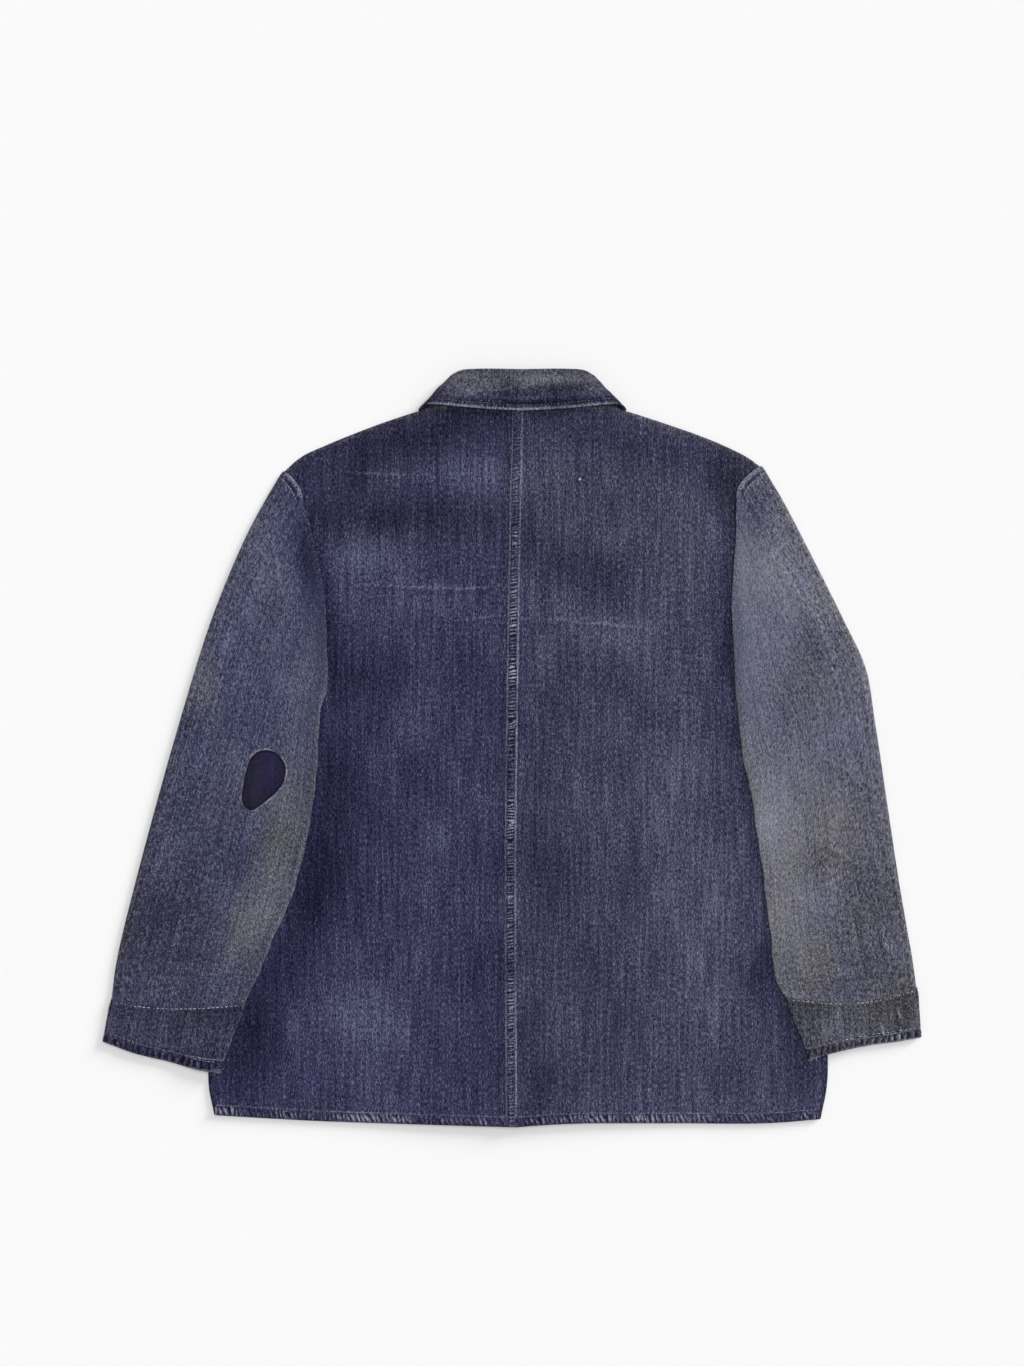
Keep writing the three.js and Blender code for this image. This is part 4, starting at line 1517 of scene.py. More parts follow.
    def hem(self, rng: Rng, front: Side | None = None) -> Thing:
        """Make the turned, ropy hem of the back, or of one front on its underside.

        Args:
            rng: The source of the ripples' differences.
            front: The half whose front it is, or None for the whole back.

        Returns:
            The hem's object.
        """
        line = self.hem_line(front)
        count = int(line.length / (1.05 if front is None else 2.2))
        depth = np.array([-0.5, 0.1, 0.8, 1.6, 2.6, 3.7, 4.9, 6.1, 7.3, 8.4, 9.4, 10.2, 10.9])
        share_along = np.linspace(0.0012, 0.9988, count)
        edge, square = line.at(share_along), line.across(share_along)
        upwards = np.where(square[..., 1] >= 0, 1, -1)[None, :, None]
        plan = edge[None] + square[None] * depth[:, None, None] * upwards
        x, y = plan[..., 0], plan[..., 1]
        away = np.broadcast_to(depth[:, None], x.shape)
        ripple = Puckers(rng, 5.2, 0.9, 0.1).ripple(share_along[None] * line.length, away / 10.0)
        window = np.sin(np.pi * np.clip((away + 1.2) / 10.6, 0, 1)) ** 0.7
        roll = 1 - np.sqrt(1 - np.clip(1 - (away + 0.5) / 2.4, 0, 1) ** 2)
        if front is None:
            over = 1.75 * ease(x, LAYERS.fell_at(y) - 19, LAYERS.fell_at(y) - 12)
            over *= 1 - ease(x, LAYERS.fell_at(y), LAYERS.fell_at(y) + 3.5)
            top = LAYERS.back_top(x, y) + self.hem_rise + over
            height = top + 0.42 + (0.4 * ripple + 0.2) * window - 0.2 * bell(away - self.hem_stitches, 0.6)
            height = lerp(height, LAYERS.back_right(x, y) + self.hem_rise + 0.3, roll)
            height -= 0.45 * ease(away, 9.9, 10.9)
        else:
            low = (LAYERS.front_left if front.sign < 0 else LAYERS.front_right)(x, y)
            height = low + 0.4 + 0.03 * ripple * window
            height = lerp(height, low + 1.2, roll) + 0.35 * ease(away, 9.9, 10.9)
        tone, grey = blotted(BACK_BLOTS, x, y)
        places = np.arange(0, 700, 18.0)
        cloudy = np.interp(share_along * line.length, places, rng.uniform(0.3, 1.0, len(places)))[None]
        rub = strongest(
            (0.2 + 0.85 * np.clip(ripple, 0, 1.1)) * window * cloudy,  # the ripples' crests
            0.5 * cloudy * bell(away + 0.3, 1.0),  # and both edges
            0.5 * cloudy * bell(away - 9.6, 0.8),
        )
        dark = 0.42 * np.clip(-ripple, 0, 1) * window
        marks = {"tone": tone - dark, "grey": grey + 0.08, "rub": rub}
        wall = np.full(x.shape, self.hem_cloth if front is None else 0.6)
        cloth = Cloth(np.dstack([x, y, height]), wall, np.dstack([x, y]), marks, bulge=(0.8, 0.6, 0.8, 0.8))
        return cloth.build("hem_back" if front is None else f"hem_front_{front.word()}", self.finish)


@dataclass
class Tube:
    """A flattened tube of cloth: the columns run over its upper layer and back under it."""

    upper: Grid  # shares from the outer fold to the inner one
    lower: Grid  # and back, without the folds themselves
    fold_roll: float  # how far in from a fold the cloth rounds over

    NEAR = (0.3, 0.9, 1.8, 3.0, 4.5, 6.3)  # distances of the closest columns at a fold

    @classmethod
    def of(cls, width: float, upper_step: float, lower_step: float, fold_roll: float) -> "Tube":
        """Space a tube's columns.

        Args:
            width: About how wide the flat tube is.
            upper_step: The step between columns of its upper layer.
            lower_step: The step in its lower layer.
            fold_roll: How far in from a fold the cloth rounds over.

        Returns:
            The tube.
        """
        few = cls.NEAR[1::2]
        lower = graded(width, lower_step, few, few)[::-1][1:-1]
        return cls(graded(width, upper_step, cls.NEAR, cls.NEAR), lower, fold_roll)

    def shares(self) -> Grid:
        """Return all columns' shares of the way from the outer fold to the inner one."""
        return np.concatenate([self.upper, self.lower])

    def is_upper(self) -> Grid:
        """Return which columns lie in the upper layer."""
        return np.arange(len(self.upper) + len(self.lower)) < len(self.upper)

    def span(self, plan: Grid) -> Grid:
        """Return the vectors from the outer fold to the inner one, row by row."""
        return plan[:, [len(self.upper) - 1]] - plan[:, [0]]

    def from_fold(self, width: Grid) -> Grid:
        """Return each point's distance from the nearer fold."""
        return np.minimum(self.shares(), 1 - self.shares())[None] * width

    def rolled(self, low: Grid, high: Grid, edge: Grid) -> Grid:
        """Round the tube's wall over at its folds.

        Args:
            low: The lower layer's height.
            high: The upper layer's height.
            edge: The distance from the nearer fold.

        Returns:
            The height of each point of the wall.
        """
        near = np.clip(1 - edge / self.fold_roll, 0, 1)
        wanted = np.where(self.is_upper()[None], high, low)
        return lerp((low + high) / 2, wanted, np.sqrt(1 - near**2))

    def around(self, width: Grid) -> Grid:
        """Return the distance round the tube at each column and once more at the end."""
        share = np.where(self.is_upper(), self.shares(), 2 - self.shares())
        return np.concatenate([share[None] * width, 2 * width], axis=1)


@dataclass
class Sleeve:
    """A one-piece sleeve, folded down over the body's side, with its lapped armhole seam."""

    side: Side
    finish: Material
    width: float = 150.0  # about
    step: float = 2.6
    hidden_step: float = 4.6
    fold_roll: float = 6.0
    lap: float = 4.2
    head: tuple[float, float] = (0.015, 0.2)  # the part of the armhole with whole stitches
    rows: tuple[float, float] = (2.2, -3.8)  # of stitches, beside the armhole

    LEAD = (-1.0, -0.78, -0.5, -0.22)  # rows of the lap, as shares of it
    NEAR = (1.0, 2.2, 3.6, 5.2, 7.0, 9.0)  # distances of the closest rows at both seams
    CUFF_LOW, CUFF_HIGH = 2.75, 4.08  # the layers' heights inside the cuff

    def layout(self, tube: Tube) -> tuple[Grid, Grid, Grid, float]:
        """Lay the sleeve out in plan.

        Args:
            tube: Its columns.

        Returns:
            Its points, each row's distance from the armhole and width, and the length.
        """
        side, share = self.side, tube.shares()
        seam = Line.through(side.sleeve_seam)
        outer, inner = Line.through(side.sleeve_outer), Line.through(side.sleeve_inner)
        length = 0.5 * (outer.length + inner.length)
        v = graded(length, self.step, self.NEAR, self.NEAR)
        plan = patch_between(seam, Line.through(side.cuff_seam), outer, inner, share, v)
        width = np.linalg.norm(tube.span(plan), axis=-1)
        lead = np.array(self.LEAD) * self.lap
        wide = lerp(0.5, 1.0, ease(seam.at(share)[:, 1], 242, 258))
        near = ease(tube.from_fold(width[:1]), 0, 8)
        full = lerp(0.65, np.where(tube.is_upper(), wide, 0.3)[None], near)
        full = full * lerp(0.25, 1.0, ease((1 - share[None]) * width[:1], 0, 30))
        inwards = -side.sign * seam.across(share)
        front = plan[:1] - lead[:, None, None] * full[..., None] * inwards[None]
        plan = np.concatenate([front, plan])
        away = np.concatenate([lead, v * length])[:, None]
        ends = ease(away, 20, 60), ease(length - away, 20, 60)
        dents = np.sin(away / 9) * np.sin(away / 23 + 1) * ends[0] * ends[1]
        tuck = 0.9 * ease(away, length - 30, length - 3) * (1 - 2 * share[None])
        tuck = tuck - 0.9 * dents * ease(share[None], 0.9, 1.0)
        plan = plan + unit(tube.span(plan)) * tuck[..., None]
        return plan, away, np.concatenate([np.repeat(width[:1], len(lead), 0), width]), length

    def cloth(self) -> Cloth:
        """Work out the sleeve's wall.

        Returns:
            Its cloth.
        """
        side, wall = self.side, LAYERS.cloth
        tube = Tube.of(self.width, self.step, self.hidden_step, self.fold_roll)
        plan, away, width, length = self.layout(tube)
        edge = tube.from_fold(width)
        x, y = plan[..., 0], plan[..., 1]
        ride = LAYERS.riding(side, x, y)
        sewn = (1 - ease(away, 3, 34)) * ease(y, 116, 158)
        low = wall / 2 + LAYERS.ride * ride * (1 - (1 - ease(away, 10, 60)) * ease(y, 122, 180))
        room = lerp(lerp(0.9, 2.6, ease(away, 0, 0.12 * length)), 0.8, ride)
        crease, rub = creased(SLEEVE_CREASES, x, y)
        calm = ease(edge, 1, 16) * ease(away, 6, 30) * ease(length - away, 4, 26)
        high = wall * 1.5 + LAYERS.ride * ride + room + LAYERS.folds(SLEEVE_FOLDS, x, y) + crease * calm
        high = lerp(high, LAYERS.back_top(x, y) + 0.2 + wall / 2, sewn)
        into_cuff = ease(away, length - 13, length - 2)
        low = lerp(low, self.CUFF_LOW + LAYERS.ride * ride, into_cuff)
        high = lerp(high, self.CUFF_HIGH + LAYERS.ride * ride, into_cuff)
        middle = np.dstack([plan, tube.rolled(low, high, edge)])
        marks = self.marks(middle, away, edge, tube.is_upper()[None], rub * calm)
        weave = np.dstack([tube.around(width), np.repeat(away, len(tube.shares()) + 1, 1)])
        return Cloth(middle, np.full(x.shape, wall), weave, marks, ring=True)

    def marks(self, middle: Grid, away: Grid, edge: Grid, upper: Grid, rub: Grid) -> dict[str, Grid]:
        """Work out the sleeve's fading, its pale rims and its rubbed seam; the pale rims along the folds are
        partly wear and partly a painted highlight against the folds' shade.

        Args:
            middle: The wall's points.
            away: Each row's distance from the armhole.
            edge: The distance from the nearer fold.
            upper: Which columns lie on top.
            rub: How the creases are rubbed.

        Returns:
            The marks for its finish.
        """
        x, y = middle[..., 0], middle[..., 1]
        tone, grey = blotted(SLEEVE_BLOTS, x, y)
        shown = ease(edge, 0, 3) * upper
        head = shown * ease(y, 240, 256)
        # paler along both folds: partly rubbed wear, partly a painted highlight that lifts the shade where
        # the tube rolls over
        tone = tone + 0.1 * bell(edge, 3.0)
        tone = tone - 0.25 * head * bell(away - 1.2, 1.2)
        rub = rub * np.where(upper, 1.0, 0.6)
        twist = np.sin(x * 1.9 + y * 0.7) * np.sin(x * 0.8 - y * 1.3)
        for line, strength in ((-self.lap + 0.3, 0.9), (-1.2, 0.75), (4.2, 0.7)):
            rub = strongest(rub, strength * head * (0.75 + 0.4 * twist) * bell(away - line, 0.8))
        rub = strongest(rub, 0.22 * shown * (1 - head) * bell(away + 1.4, 1.1) * ease(y, 120, 150))
        if self.side.sign < 0:
            rub = strongest(rub, Patch.halo(x, y) * upper)
        return {"tone": tone, "grey": grey + 0.35 * bell(edge, 12), "rub": rub}

    def piece(self) -> Piece:
        """Make the sleeve.

        Returns:
            The piece.
        """
        node = f"sleeve_{self.side.word()}"
        made = self.cloth().build(f"{node}_cloth", self.finish)
        cut = Cut(330, 570, 158000) if self.side.sign < 0 else Cut(320, 560, 146000)
        return Piece(made, "sleeve_denim", node, cut, ("floor", f"back_{self.side.word()}"))

    def seam_lines(self) -> list[Line]:
        """Return the two rows of stitching at the sleeve's head."""
        seam = Line.through(self.side.sleeve_seam).part(*self.head)
        return [seam.beside(-self.side.sign * d) for d in self.rows]


@dataclass
class Cuff:
    """A band cuff of doubled cloth with a narrow turned edge."""

    side: Side
    finish: Material
    width: float = 136.0  # about
    wall: float = 2.0
    thin: float = 0.5  # the wall at the lapped rim
    lap: float = 3.2
    hem: float = 9.4
    step: float = 1.25
    hidden_step: float = 1.6
    row_step: float = 1.7
    fold_roll: float = 5.0
    drop: float = 0.9  # of the seam below the sleeve's end

    LEAD = (-1.0, -0.85, -0.55, -0.25)  # rows of the lap, as shares of it
    HEM_ROWS = (0.4, 1.0, 1.8, 2.8, 3.9, 5.0, 6.1, 7.2, 8.2, 9.1, 9.9, 10.8)
    WARP_START = 700.0  # where its weave starts, away from the sleeve's

    def layout(self, tube: Tube) -> tuple[Grid, Grid, float]:
        """Lay the cuff out in plan.

        Args:
            tube: Its columns.

        Returns:
            Its points, each row's distance from the seam, and the length.
        """
        seam, rim = [(x, y - self.drop) for x, y in self.side.cuff_seam], self.side.cuff_edge
        outer, inner = (Line.through([seam[k], rim[k]]) for k in (0, -1))
        length = 0.5 * (outer.length + inner.length)
        v = graded(length, self.row_step, (0.7, 1.6), self.HEM_ROWS)
        plan = patch_between(Line.through(seam), Line.through(rim), outer, inner, tube.shares(), v)
        lead = np.array(self.LEAD) * self.lap
        up = unit(plan[0] - plan[6])
        plan = np.concatenate([plan[:1] + up[None] * -lead[:, None, None], plan])
        return plan, np.concatenate([lead, v * length])[:, None], length

    def cloth(self, rng: Rng) -> Cloth:
        """Work out the cuff's wall and marks.

        Args:
            rng: The source of the ripples' differences.

        Returns:
            Its cloth.
        """
        tube = Tube.of(self.width, self.step, self.hidden_step, self.fold_roll)
        share, upper = tube.shares(), tube.is_upper()
        plan, away, length = self.layout(tube)
        to_edge = length - away
        width = np.linalg.norm(tube.span(plan), axis=-1)
        edge = tube.from_fold(width)
        x, y = plan[..., 0], plan[..., 1]
        ride = LAYERS.riding(self.side, x, y)
        room = lerp(lerp(1.6, 0.8, ride), Sleeve.CUFF_LOW, 1 - ease(away, 2, 20))
        low = self.wall / 2 + LAYERS.ride * ride
        soft = Puckers(rng, 26, 1.5).ripple(share[None] * width, np.clip(away / length, 0, 1))
        fold, fold_rub = creased(CUFF_CREASES, x, y)
        calm = ease(away, 6, 20), ease(edge, 2, 14)
        high = low + self.wall + room + (0.28 * soft + fold) * calm[0] * calm[1]
        height = tube.rolled(low, high, edge)
        round_it = tube.around(width)
        ripple = Puckers(rng, 7.2, 0.35, 0.12).ripple(round_it[:, :-1], to_edge / self.hem)
        in_hem = to_edge < self.hem
        window = np.sin(np.pi * np.clip((to_edge + 1.5) / (self.hem + 1.2), 0, 1)) ** 0.7 * in_hem
        bump = (0.4 * ripple + 0.15) * window - 0.28 * bell(to_edge - self.hem, 0.7)
        bump = bump - 0.2 * bell(away + 0.8, 0.7)
        wall = np.repeat(lerp(self.thin, self.wall, ease(away, -self.lap, 7)), x.shape[1], 1)
        flat = Cloth(np.dstack([plan, height]), wall, np.zeros((*x.shape, 2)), {}, ring=True)
        out = flat.normals()
        out *= np.sign((out[..., 2] * np.where(upper, 1, -1)[None]).sum())
        middle = flat.middle + out * bump[..., None]
        tone, grey = blotted(SLEEVE_BLOTS, x, y)
        cloudy = np.interp(round_it[:, :-1], np.arange(0, 420, 16.0), rng.uniform(0.35, 1.0, 27))
        rub = strongest(
            (0.1 + 0.95 * np.clip(ripple, 0, 1.1) ** 2) * window * cloudy,  # the ripples' crests
            0.6 * cloudy * bell(to_edge, 1.1),  # the rim
            0.75 * cloudy * bell(to_edge - self.hem - 0.4, 0.8),  # the hem's turned edge
            0.4 * cloudy * bell(away + self.lap, 0.9),  # the lap
            0.3 * bell(edge, 1.4),  # and both folds
            fold_rub * ease(away, 4, 9),
        )
        dark = 0.5 * np.clip(0.25 - ripple, 0, 1) * window + 0.07 * bell(away - 6, 10) * (share[None] > 0.6)
        # the first term is a painted shadow just below the lapped seam; the second a dark line above the
        # hem's turned edge
        dark = dark + 0.14 * bell(away - 2.4, 1.4) + 0.24 * bell(to_edge - self.hem - 2.1, 0.8)
        dark = dark + 0.12 * in_hem
        marks = {"tone": 0.6 * tone - dark, "grey": grey * 0.7, "rub": rub}
        warp = np.repeat(away + self.WARP_START, len(share) + 1, 1)
        return Cloth(middle, wall, np.dstack([round_it, warp]), marks, ring=True)

    def piece(self, rng: Rng) -> Piece:
        """Make the cuff.

        Args:
            rng: The source of the ripples' differences.

        Returns:
            The piece.
        """
        node = f"cuff_{self.side.word()}"
        made = self.cloth(rng).build(f"{node}_cloth", self.finish)
        cut = Cut(280, 62, 15800) if self.side.sign < 0 else Cut(270, 58, 13600)
        return Piece(made, "cuff_denim", node, cut, ("floor", f"back_{self.side.word()}"))

    def seam_lines(self) -> list[Line]:
        """Find the rows of stitching.

        Returns:
            The rows along the seam and along the edge.
        """
        start, end = Line.through(self.side.cuff_seam), Line.through(self.side.cuff_edge)
        sign = 1 if start.across(np.array(0.5))[1] > 0 else -1
        return [start.part(0.03, 0.97).beside(sign * 0.2), end.part(0.02, 0.98).beside(sign * self.hem)]


@dataclass
class Collar:
    """A one-piece turn-down collar round the neck, its stand under its fall."""

    finish: Material
    middle: float = 10.5
    wall: float = 2.0
    stand_back: float = 7.6
    fall_back: float = 10.0
    stand_front: float = 3.3
    fall_front: float = 1.0
    roll: float = 3.0
    aside: tuple[float, float] = (0.84, 0.78)
    seam_back: Points = ((0, 345), (50, 345.2), (87.5, 343.2))
    seam_front: Points = ((87.5, 343.2), (78, 312), (47.5, 281), (5.5, 267.6))
    fold_back: Points = ((0, 376.6), (45, 376.9), (62, 375.3), (70, 370.4))
    fold_front: Points = ((70, 370.4), (61, 343), (35, 303), (9.5, 276))
    edge_back: Points = (
        (0, 336.9), (31, 338.3), (62, 340.9), (86, 343), (95, 342.6), (99.5, 340), (102, 336.6),
    )
    edge_front: Points = ((102, 336.6), (98.5, 318), (87, 280), (62, 226))
    halves: tuple[float, float] = (95.0, 120.0)  # about how long one side is, behind and in front
    steps: tuple[float, float] = (1.6, 2.2)
    stitched: float = 4.7  # the row of stitches from the edge

    NEAR_TURN = (0.5, 1.2, 2.2, 3.4, 5.0)  # distances of the closest rows at the turn to the front
    WARP_START = 900.0  # where its weave starts, away from the other pieces'

    BLOTS = (
        Blot(-50, 353, 22, 5, 12, 0.24), Blot(37, 369, 34, 6, 0, 0.2), Blot(-38, 370, 24, 6, 0, 0.1),
        Blot(52, 358, 40, 4.5, 5, -0.26), Blot(-72, 360, 14, 5, 40, -0.18), Blot(-7, 350, 30, 4, 0, 0.1),
        Blot(41, 345, 50, 3, 0, -0.2), Blot(84, 355, 12, 6, -40, 0.16), Blot(-4, 362, 8, 9, 10, -0.14),
    )

    CREASES = (
        Crease(((-70, 349), (-45, 355), (-15, 356), (20, 362)), 5, 1.2, 0.35),
        Crease(((-30, 350), (20, 352), (60, 359), (88, 357)), 5, -1.1, 0.0),
        Crease(((-60, 366), (-42, 360), (-30, 352)), 4, -0.8, 0.0),
        Crease(((20, 371), (40, 366), (66, 368)), 4, 0.8, 0.3),
        Crease(((-10, 374), (-2, 365), (4, 352)), 5, -0.7, 0.0),
        Crease(((70, 366), (80, 356), (92, 349)), 4, 0.8, 0.35),
        Crease(((-84, 352), (-70, 360), (-60, 370)), 4, 0.7, 0.3),
    )

    def stations(self) -> tuple[Grid, Grid]:
        """Return shares along the back half and then along the front half of one side."""
        back = graded(self.halves[0], self.steps[0], (), self.NEAR_TURN)
        return back, graded(self.halves[1], self.steps[1], self.NEAR_TURN, ())[1:]

    def ring(self, back: Points, front: Points, high_back: float, high_front: float) -> Grid:
        """Run one line round the collar's side, from the middle of the back to the front.

        Args:
            back: The line's points behind.
            front: Its points in front.
            high_back: Its height behind.
            high_front: Its height in front.

        Returns:
            A point for each station.
        """
        over, under = Line.through(back), Line.through(front)
        t_back, t_front = self.stations()
        half = (high_back + high_front) / 2

        def turned(high: float, away: Grid) -> Grid:
            """Return the heights near the turn from back to front."""
            near = np.clip(1 - away / self.roll, 0, 1)
            return lerp(half, high, np.sqrt(1 - near**2))

        first = np.column_stack([over.at(t_back), turned(high_back, (1 - t_back) * over.length)])
        second = np.column_stack([under.at(t_front), turned(high_front, t_front * under.length)])
        return np.vstack([first, second])

    def half(self) -> tuple[Grid, Grid]:
        """Work out one side of the collar.

        Returns:
            The wall's middle points, and each column's distance from the outer edge.
        """
        seam = self.ring(self.seam_back, self.seam_front, self.stand_back, self.stand_front)
        stand = self.ring(self.fold_back, self.fold_front, self.stand_back, self.stand_front)
        fall = self.ring(self.fold_back, self.fold_front, self.fall_back, self.fall_front)
        edge = self.ring(self.edge_back, self.edge_front, self.fall_back, self.fall_front)
        t_back, t_front = self.stations()
        near = np.concatenate([
            np.interp(t_back, [0.86, 0.93, 0.975, 1.0], [0, 1 / 3, 2 / 3, 1]),
            np.interp(t_front, [0, 0.025, 0.07, 0.16], [1, 2 / 3, 1 / 3, 0]),
        ])
        apart = near[:, None] * np.array([*self.aside, 0.0])
        low, high = stand - apart, fall + apart
        gap = np.linalg.norm(high - low, axis=1, keepdims=True) / 2
        out = unit(unit(fall - edge) + unit(stand - seam))
        low, high = low - out * gap, high - out * gap
        legs = np.linspace(0, 1, 22)
        columns = [lerp(seam - apart, low, t) for t in legs[:-1]]
        for angle in np.linspace(0, math.pi, 9):
            turned = (low + high) / 2 + (low - high) / 2 * math.cos(angle)
            columns.append(turned + out * gap * math.sin(angle))
        tight = np.array([1.0, 0.975, 0.95, 0.92, 0.89, 0.86, *np.linspace(0.82, 0.04, 20)])[::-1]
        columns += [lerp(high, edge + apart, t) for t in tight]
        middle = np.stack(columns, 1)
        away = np.cumsum(np.linalg.norm(np.diff(middle[:, ::-1], axis=1), axis=-1), axis=1)[:, ::-1]
        return middle, np.concatenate([away, np.zeros((len(middle), 1))], 1)

    def cloth(self, rng: Rng) -> Cloth:
        """Work out the collar's wall and marks.

        Args:
            rng: The source of the ripples' differences.

        Returns:
            Its cloth.
        """
        right, away = self.half()
        left = right.copy()
        left[..., 0] *= -1
        middle = np.concatenate([left[:0:-1], right])
        away = np.concatenate([away[:0:-1], away])
        middle[..., 0] += self.middle
        x, y, z = (middle[..., k] for k in range(3))
        steps = np.linalg.norm(np.diff(middle[:, -14], axis=0), axis=-1)
        along = np.concatenate([[0], np.cumsum(steps)])[:, None]
        reach = away.max(1, keepdims=True)
        on_fall = 1 - ease(away, 0.42 * reach, 0.5 * reach)
        soft = Puckers(rng, 34, 0.8).ripple(along, away / 36)
        folds, rub = creased(self.CREASES, x, y)
        shown = on_fall * (z > 7)
        calm = ease(away, 4, 12) * ease(reach * 0.45 - away, 1, 8)
        ripple = Puckers(rng, 5.0, 0.6).ripple(along, away / 5)
        near_edge = bell(away - 2.3, 1.6)
        bump = on_fall * ((0.22 * soft + folds) * calm + 0.1 * ripple * near_edge)
        bump -= 0.32 * bell(away - self.stitched, 0.7)
        wall = np.full(x.shape, self.wall)
        flat = Cloth(middle, wall, np.zeros((*x.shape, 2)), {})
        out = flat.normals()
        mid_row, fall_column = len(middle) // 2, middle.shape[1] - 10
        out *= np.sign(out[mid_row, fall_column, 2])
        middle = middle + out * bump[..., None]
        cloudy = np.interp(along, np.arange(0, 520, 20.0), rng.uniform(0.55, 1.0, 26))
        over_back = ease(y, 330, 336) * (1 - ease(np.abs(x - self.middle), 88, 99))
        rub = strongest(
            rub * shown * calm,
            (0.12 + 0.6 * over_back) * cloudy * np.exp(-((away / 1.9) ** 4)),  # the edge
            0.22 * bell(away - reach * 0.47, 3.0),  # the fold
        )
        # painted shade in a band along the fall's edge, darkest at its row of stitches
        stitch_groove_shade = 0.24 * bell(away - 6.6, 3.4) + 0.28 * bell(away - 5.0, 0.9) + 0.08 * bell(away - 13, 5)
        warm = ease(away, 14, 26)
        tone, _ = blotted(self.BLOTS, x, y)
        tone = 0.1 * warm - stitch_groove_shade + tone * shown
        marks = {"tone": tone, "grey": 0.3 + 0.4 * warm, "rub": rub}
        weave = np.dstack([np.repeat(along, x.shape[1], 1), away + self.WARP_START])
        return Cloth(middle, wall, weave, marks)

    def piece(self, rng: Rng) -> Piece:
        """Make the collar."""
        made = self.cloth(rng).build("collar_cloth", self.finish)
        return Piece(made, "collar_denim", "collar", Cut(460, 95, 36000), ("back_left", "back_right"))

    def seam_line(self) -> Line:
        """Find the row of stitching along the fall's edge over the back.

        Returns:
            The row's line.
        """
        edge = [(self.middle + x, y) for x, y in self.edge_back[:-2]]
        other = [(2 * self.middle - x, y) for x, y in edge[:0:-1]]
        return Line.through([*other, *edge]).beside(self.stitched)


@dataclass
class Patch:
    """The egg-shaped patch sewn on the left sleeve."""

    finish: Material
    wall: float = 0.9

    EDGE = (
        (-248, -2.5), (-235, -6), (-226.5, -18), (-228, -34), (-247, -54.5),
        (-260, -62), (-268, -56), (-269, -44), (-259, -9),
    )
    STITCHED = 2.2  # the row of stitches from the edge

    @classmethod
    def outline(cls) -> Line:
        """Return the patch's edge as a closed line."""
        return Line.through(cls.EDGE, closed=True)

    @classmethod
    def halo(cls, x: Grid, y: Grid) -> Grid:
        """Rub the sleeve pale just outside the patch.

        Args:
            x, y: The points' places.

        Returns:
            How strongly each point is rubbed.
        """
        away, share = cls.outline().nearest(x, y)
        uneven = 0.65 + 0.35 * np.sin(2 * np.pi * share * 7 + 1.3) * np.sin(2 * np.pi * share * 3)
        return 1.1 * uneven * bell(away, 1.8)

    def piece(self, sleeve: Thing) -> Piece:
        """Make the patch on a sleeve.

        Args:
            sleeve: The sleeve's object.

        Returns:
            The patch.
        """
        line = self.outline()
        quarter = [line.part(k / 4, (k + 1) / 4) for k in range(4)]
        lines = quarter[0], Line(quarter[2].points[::-1]), Line(quarter[3].points[::-1]), quarter[1]
        u = graded(45, 1.1, (0.4, 0.9), (0.4, 0.9))
        plan = patch_between(*lines, u, u)
        surface = Surface(sleeve)
        top = np.array([[surface.drop(x, y)[0][2] for x, y in row] for row in plan])
        away, _ = line.nearest(plan[..., 0], plan[..., 1])
        dent = 0.35 * bell(away - self.STITCHED, 0.7)
        swell = 0.25 * ease(away, 2.4, 9) + 0.12 * np.sin(plan[..., 0] * 0.33) * ease(away, 3, 9)
        height = top + 0.12 + self.wall / 2 + swell - dent
        tone = -0.3 * bell(away, 1.3) + 0.1 * ease(away, 4, 14)
        dull = 0.4 * (1 - ease(plan[..., 0] + 0.35 * plan[..., 1], -272, -248))
        marks = {"tone": tone - 0.12 * dull, "grey": dull, "rub": 0.14 * bell(away - 3.6, 0.8)}
        cloth = Cloth(np.dstack([plan, height]), np.full(height.shape, self.wall), plan + 40, marks)
        made = cloth.build("sleeve_patch_cloth", self.finish)
        return Piece(made, "patch_denim", "sleeve_patch", Cut(46, 64, 1950), ("sleeve_left",))


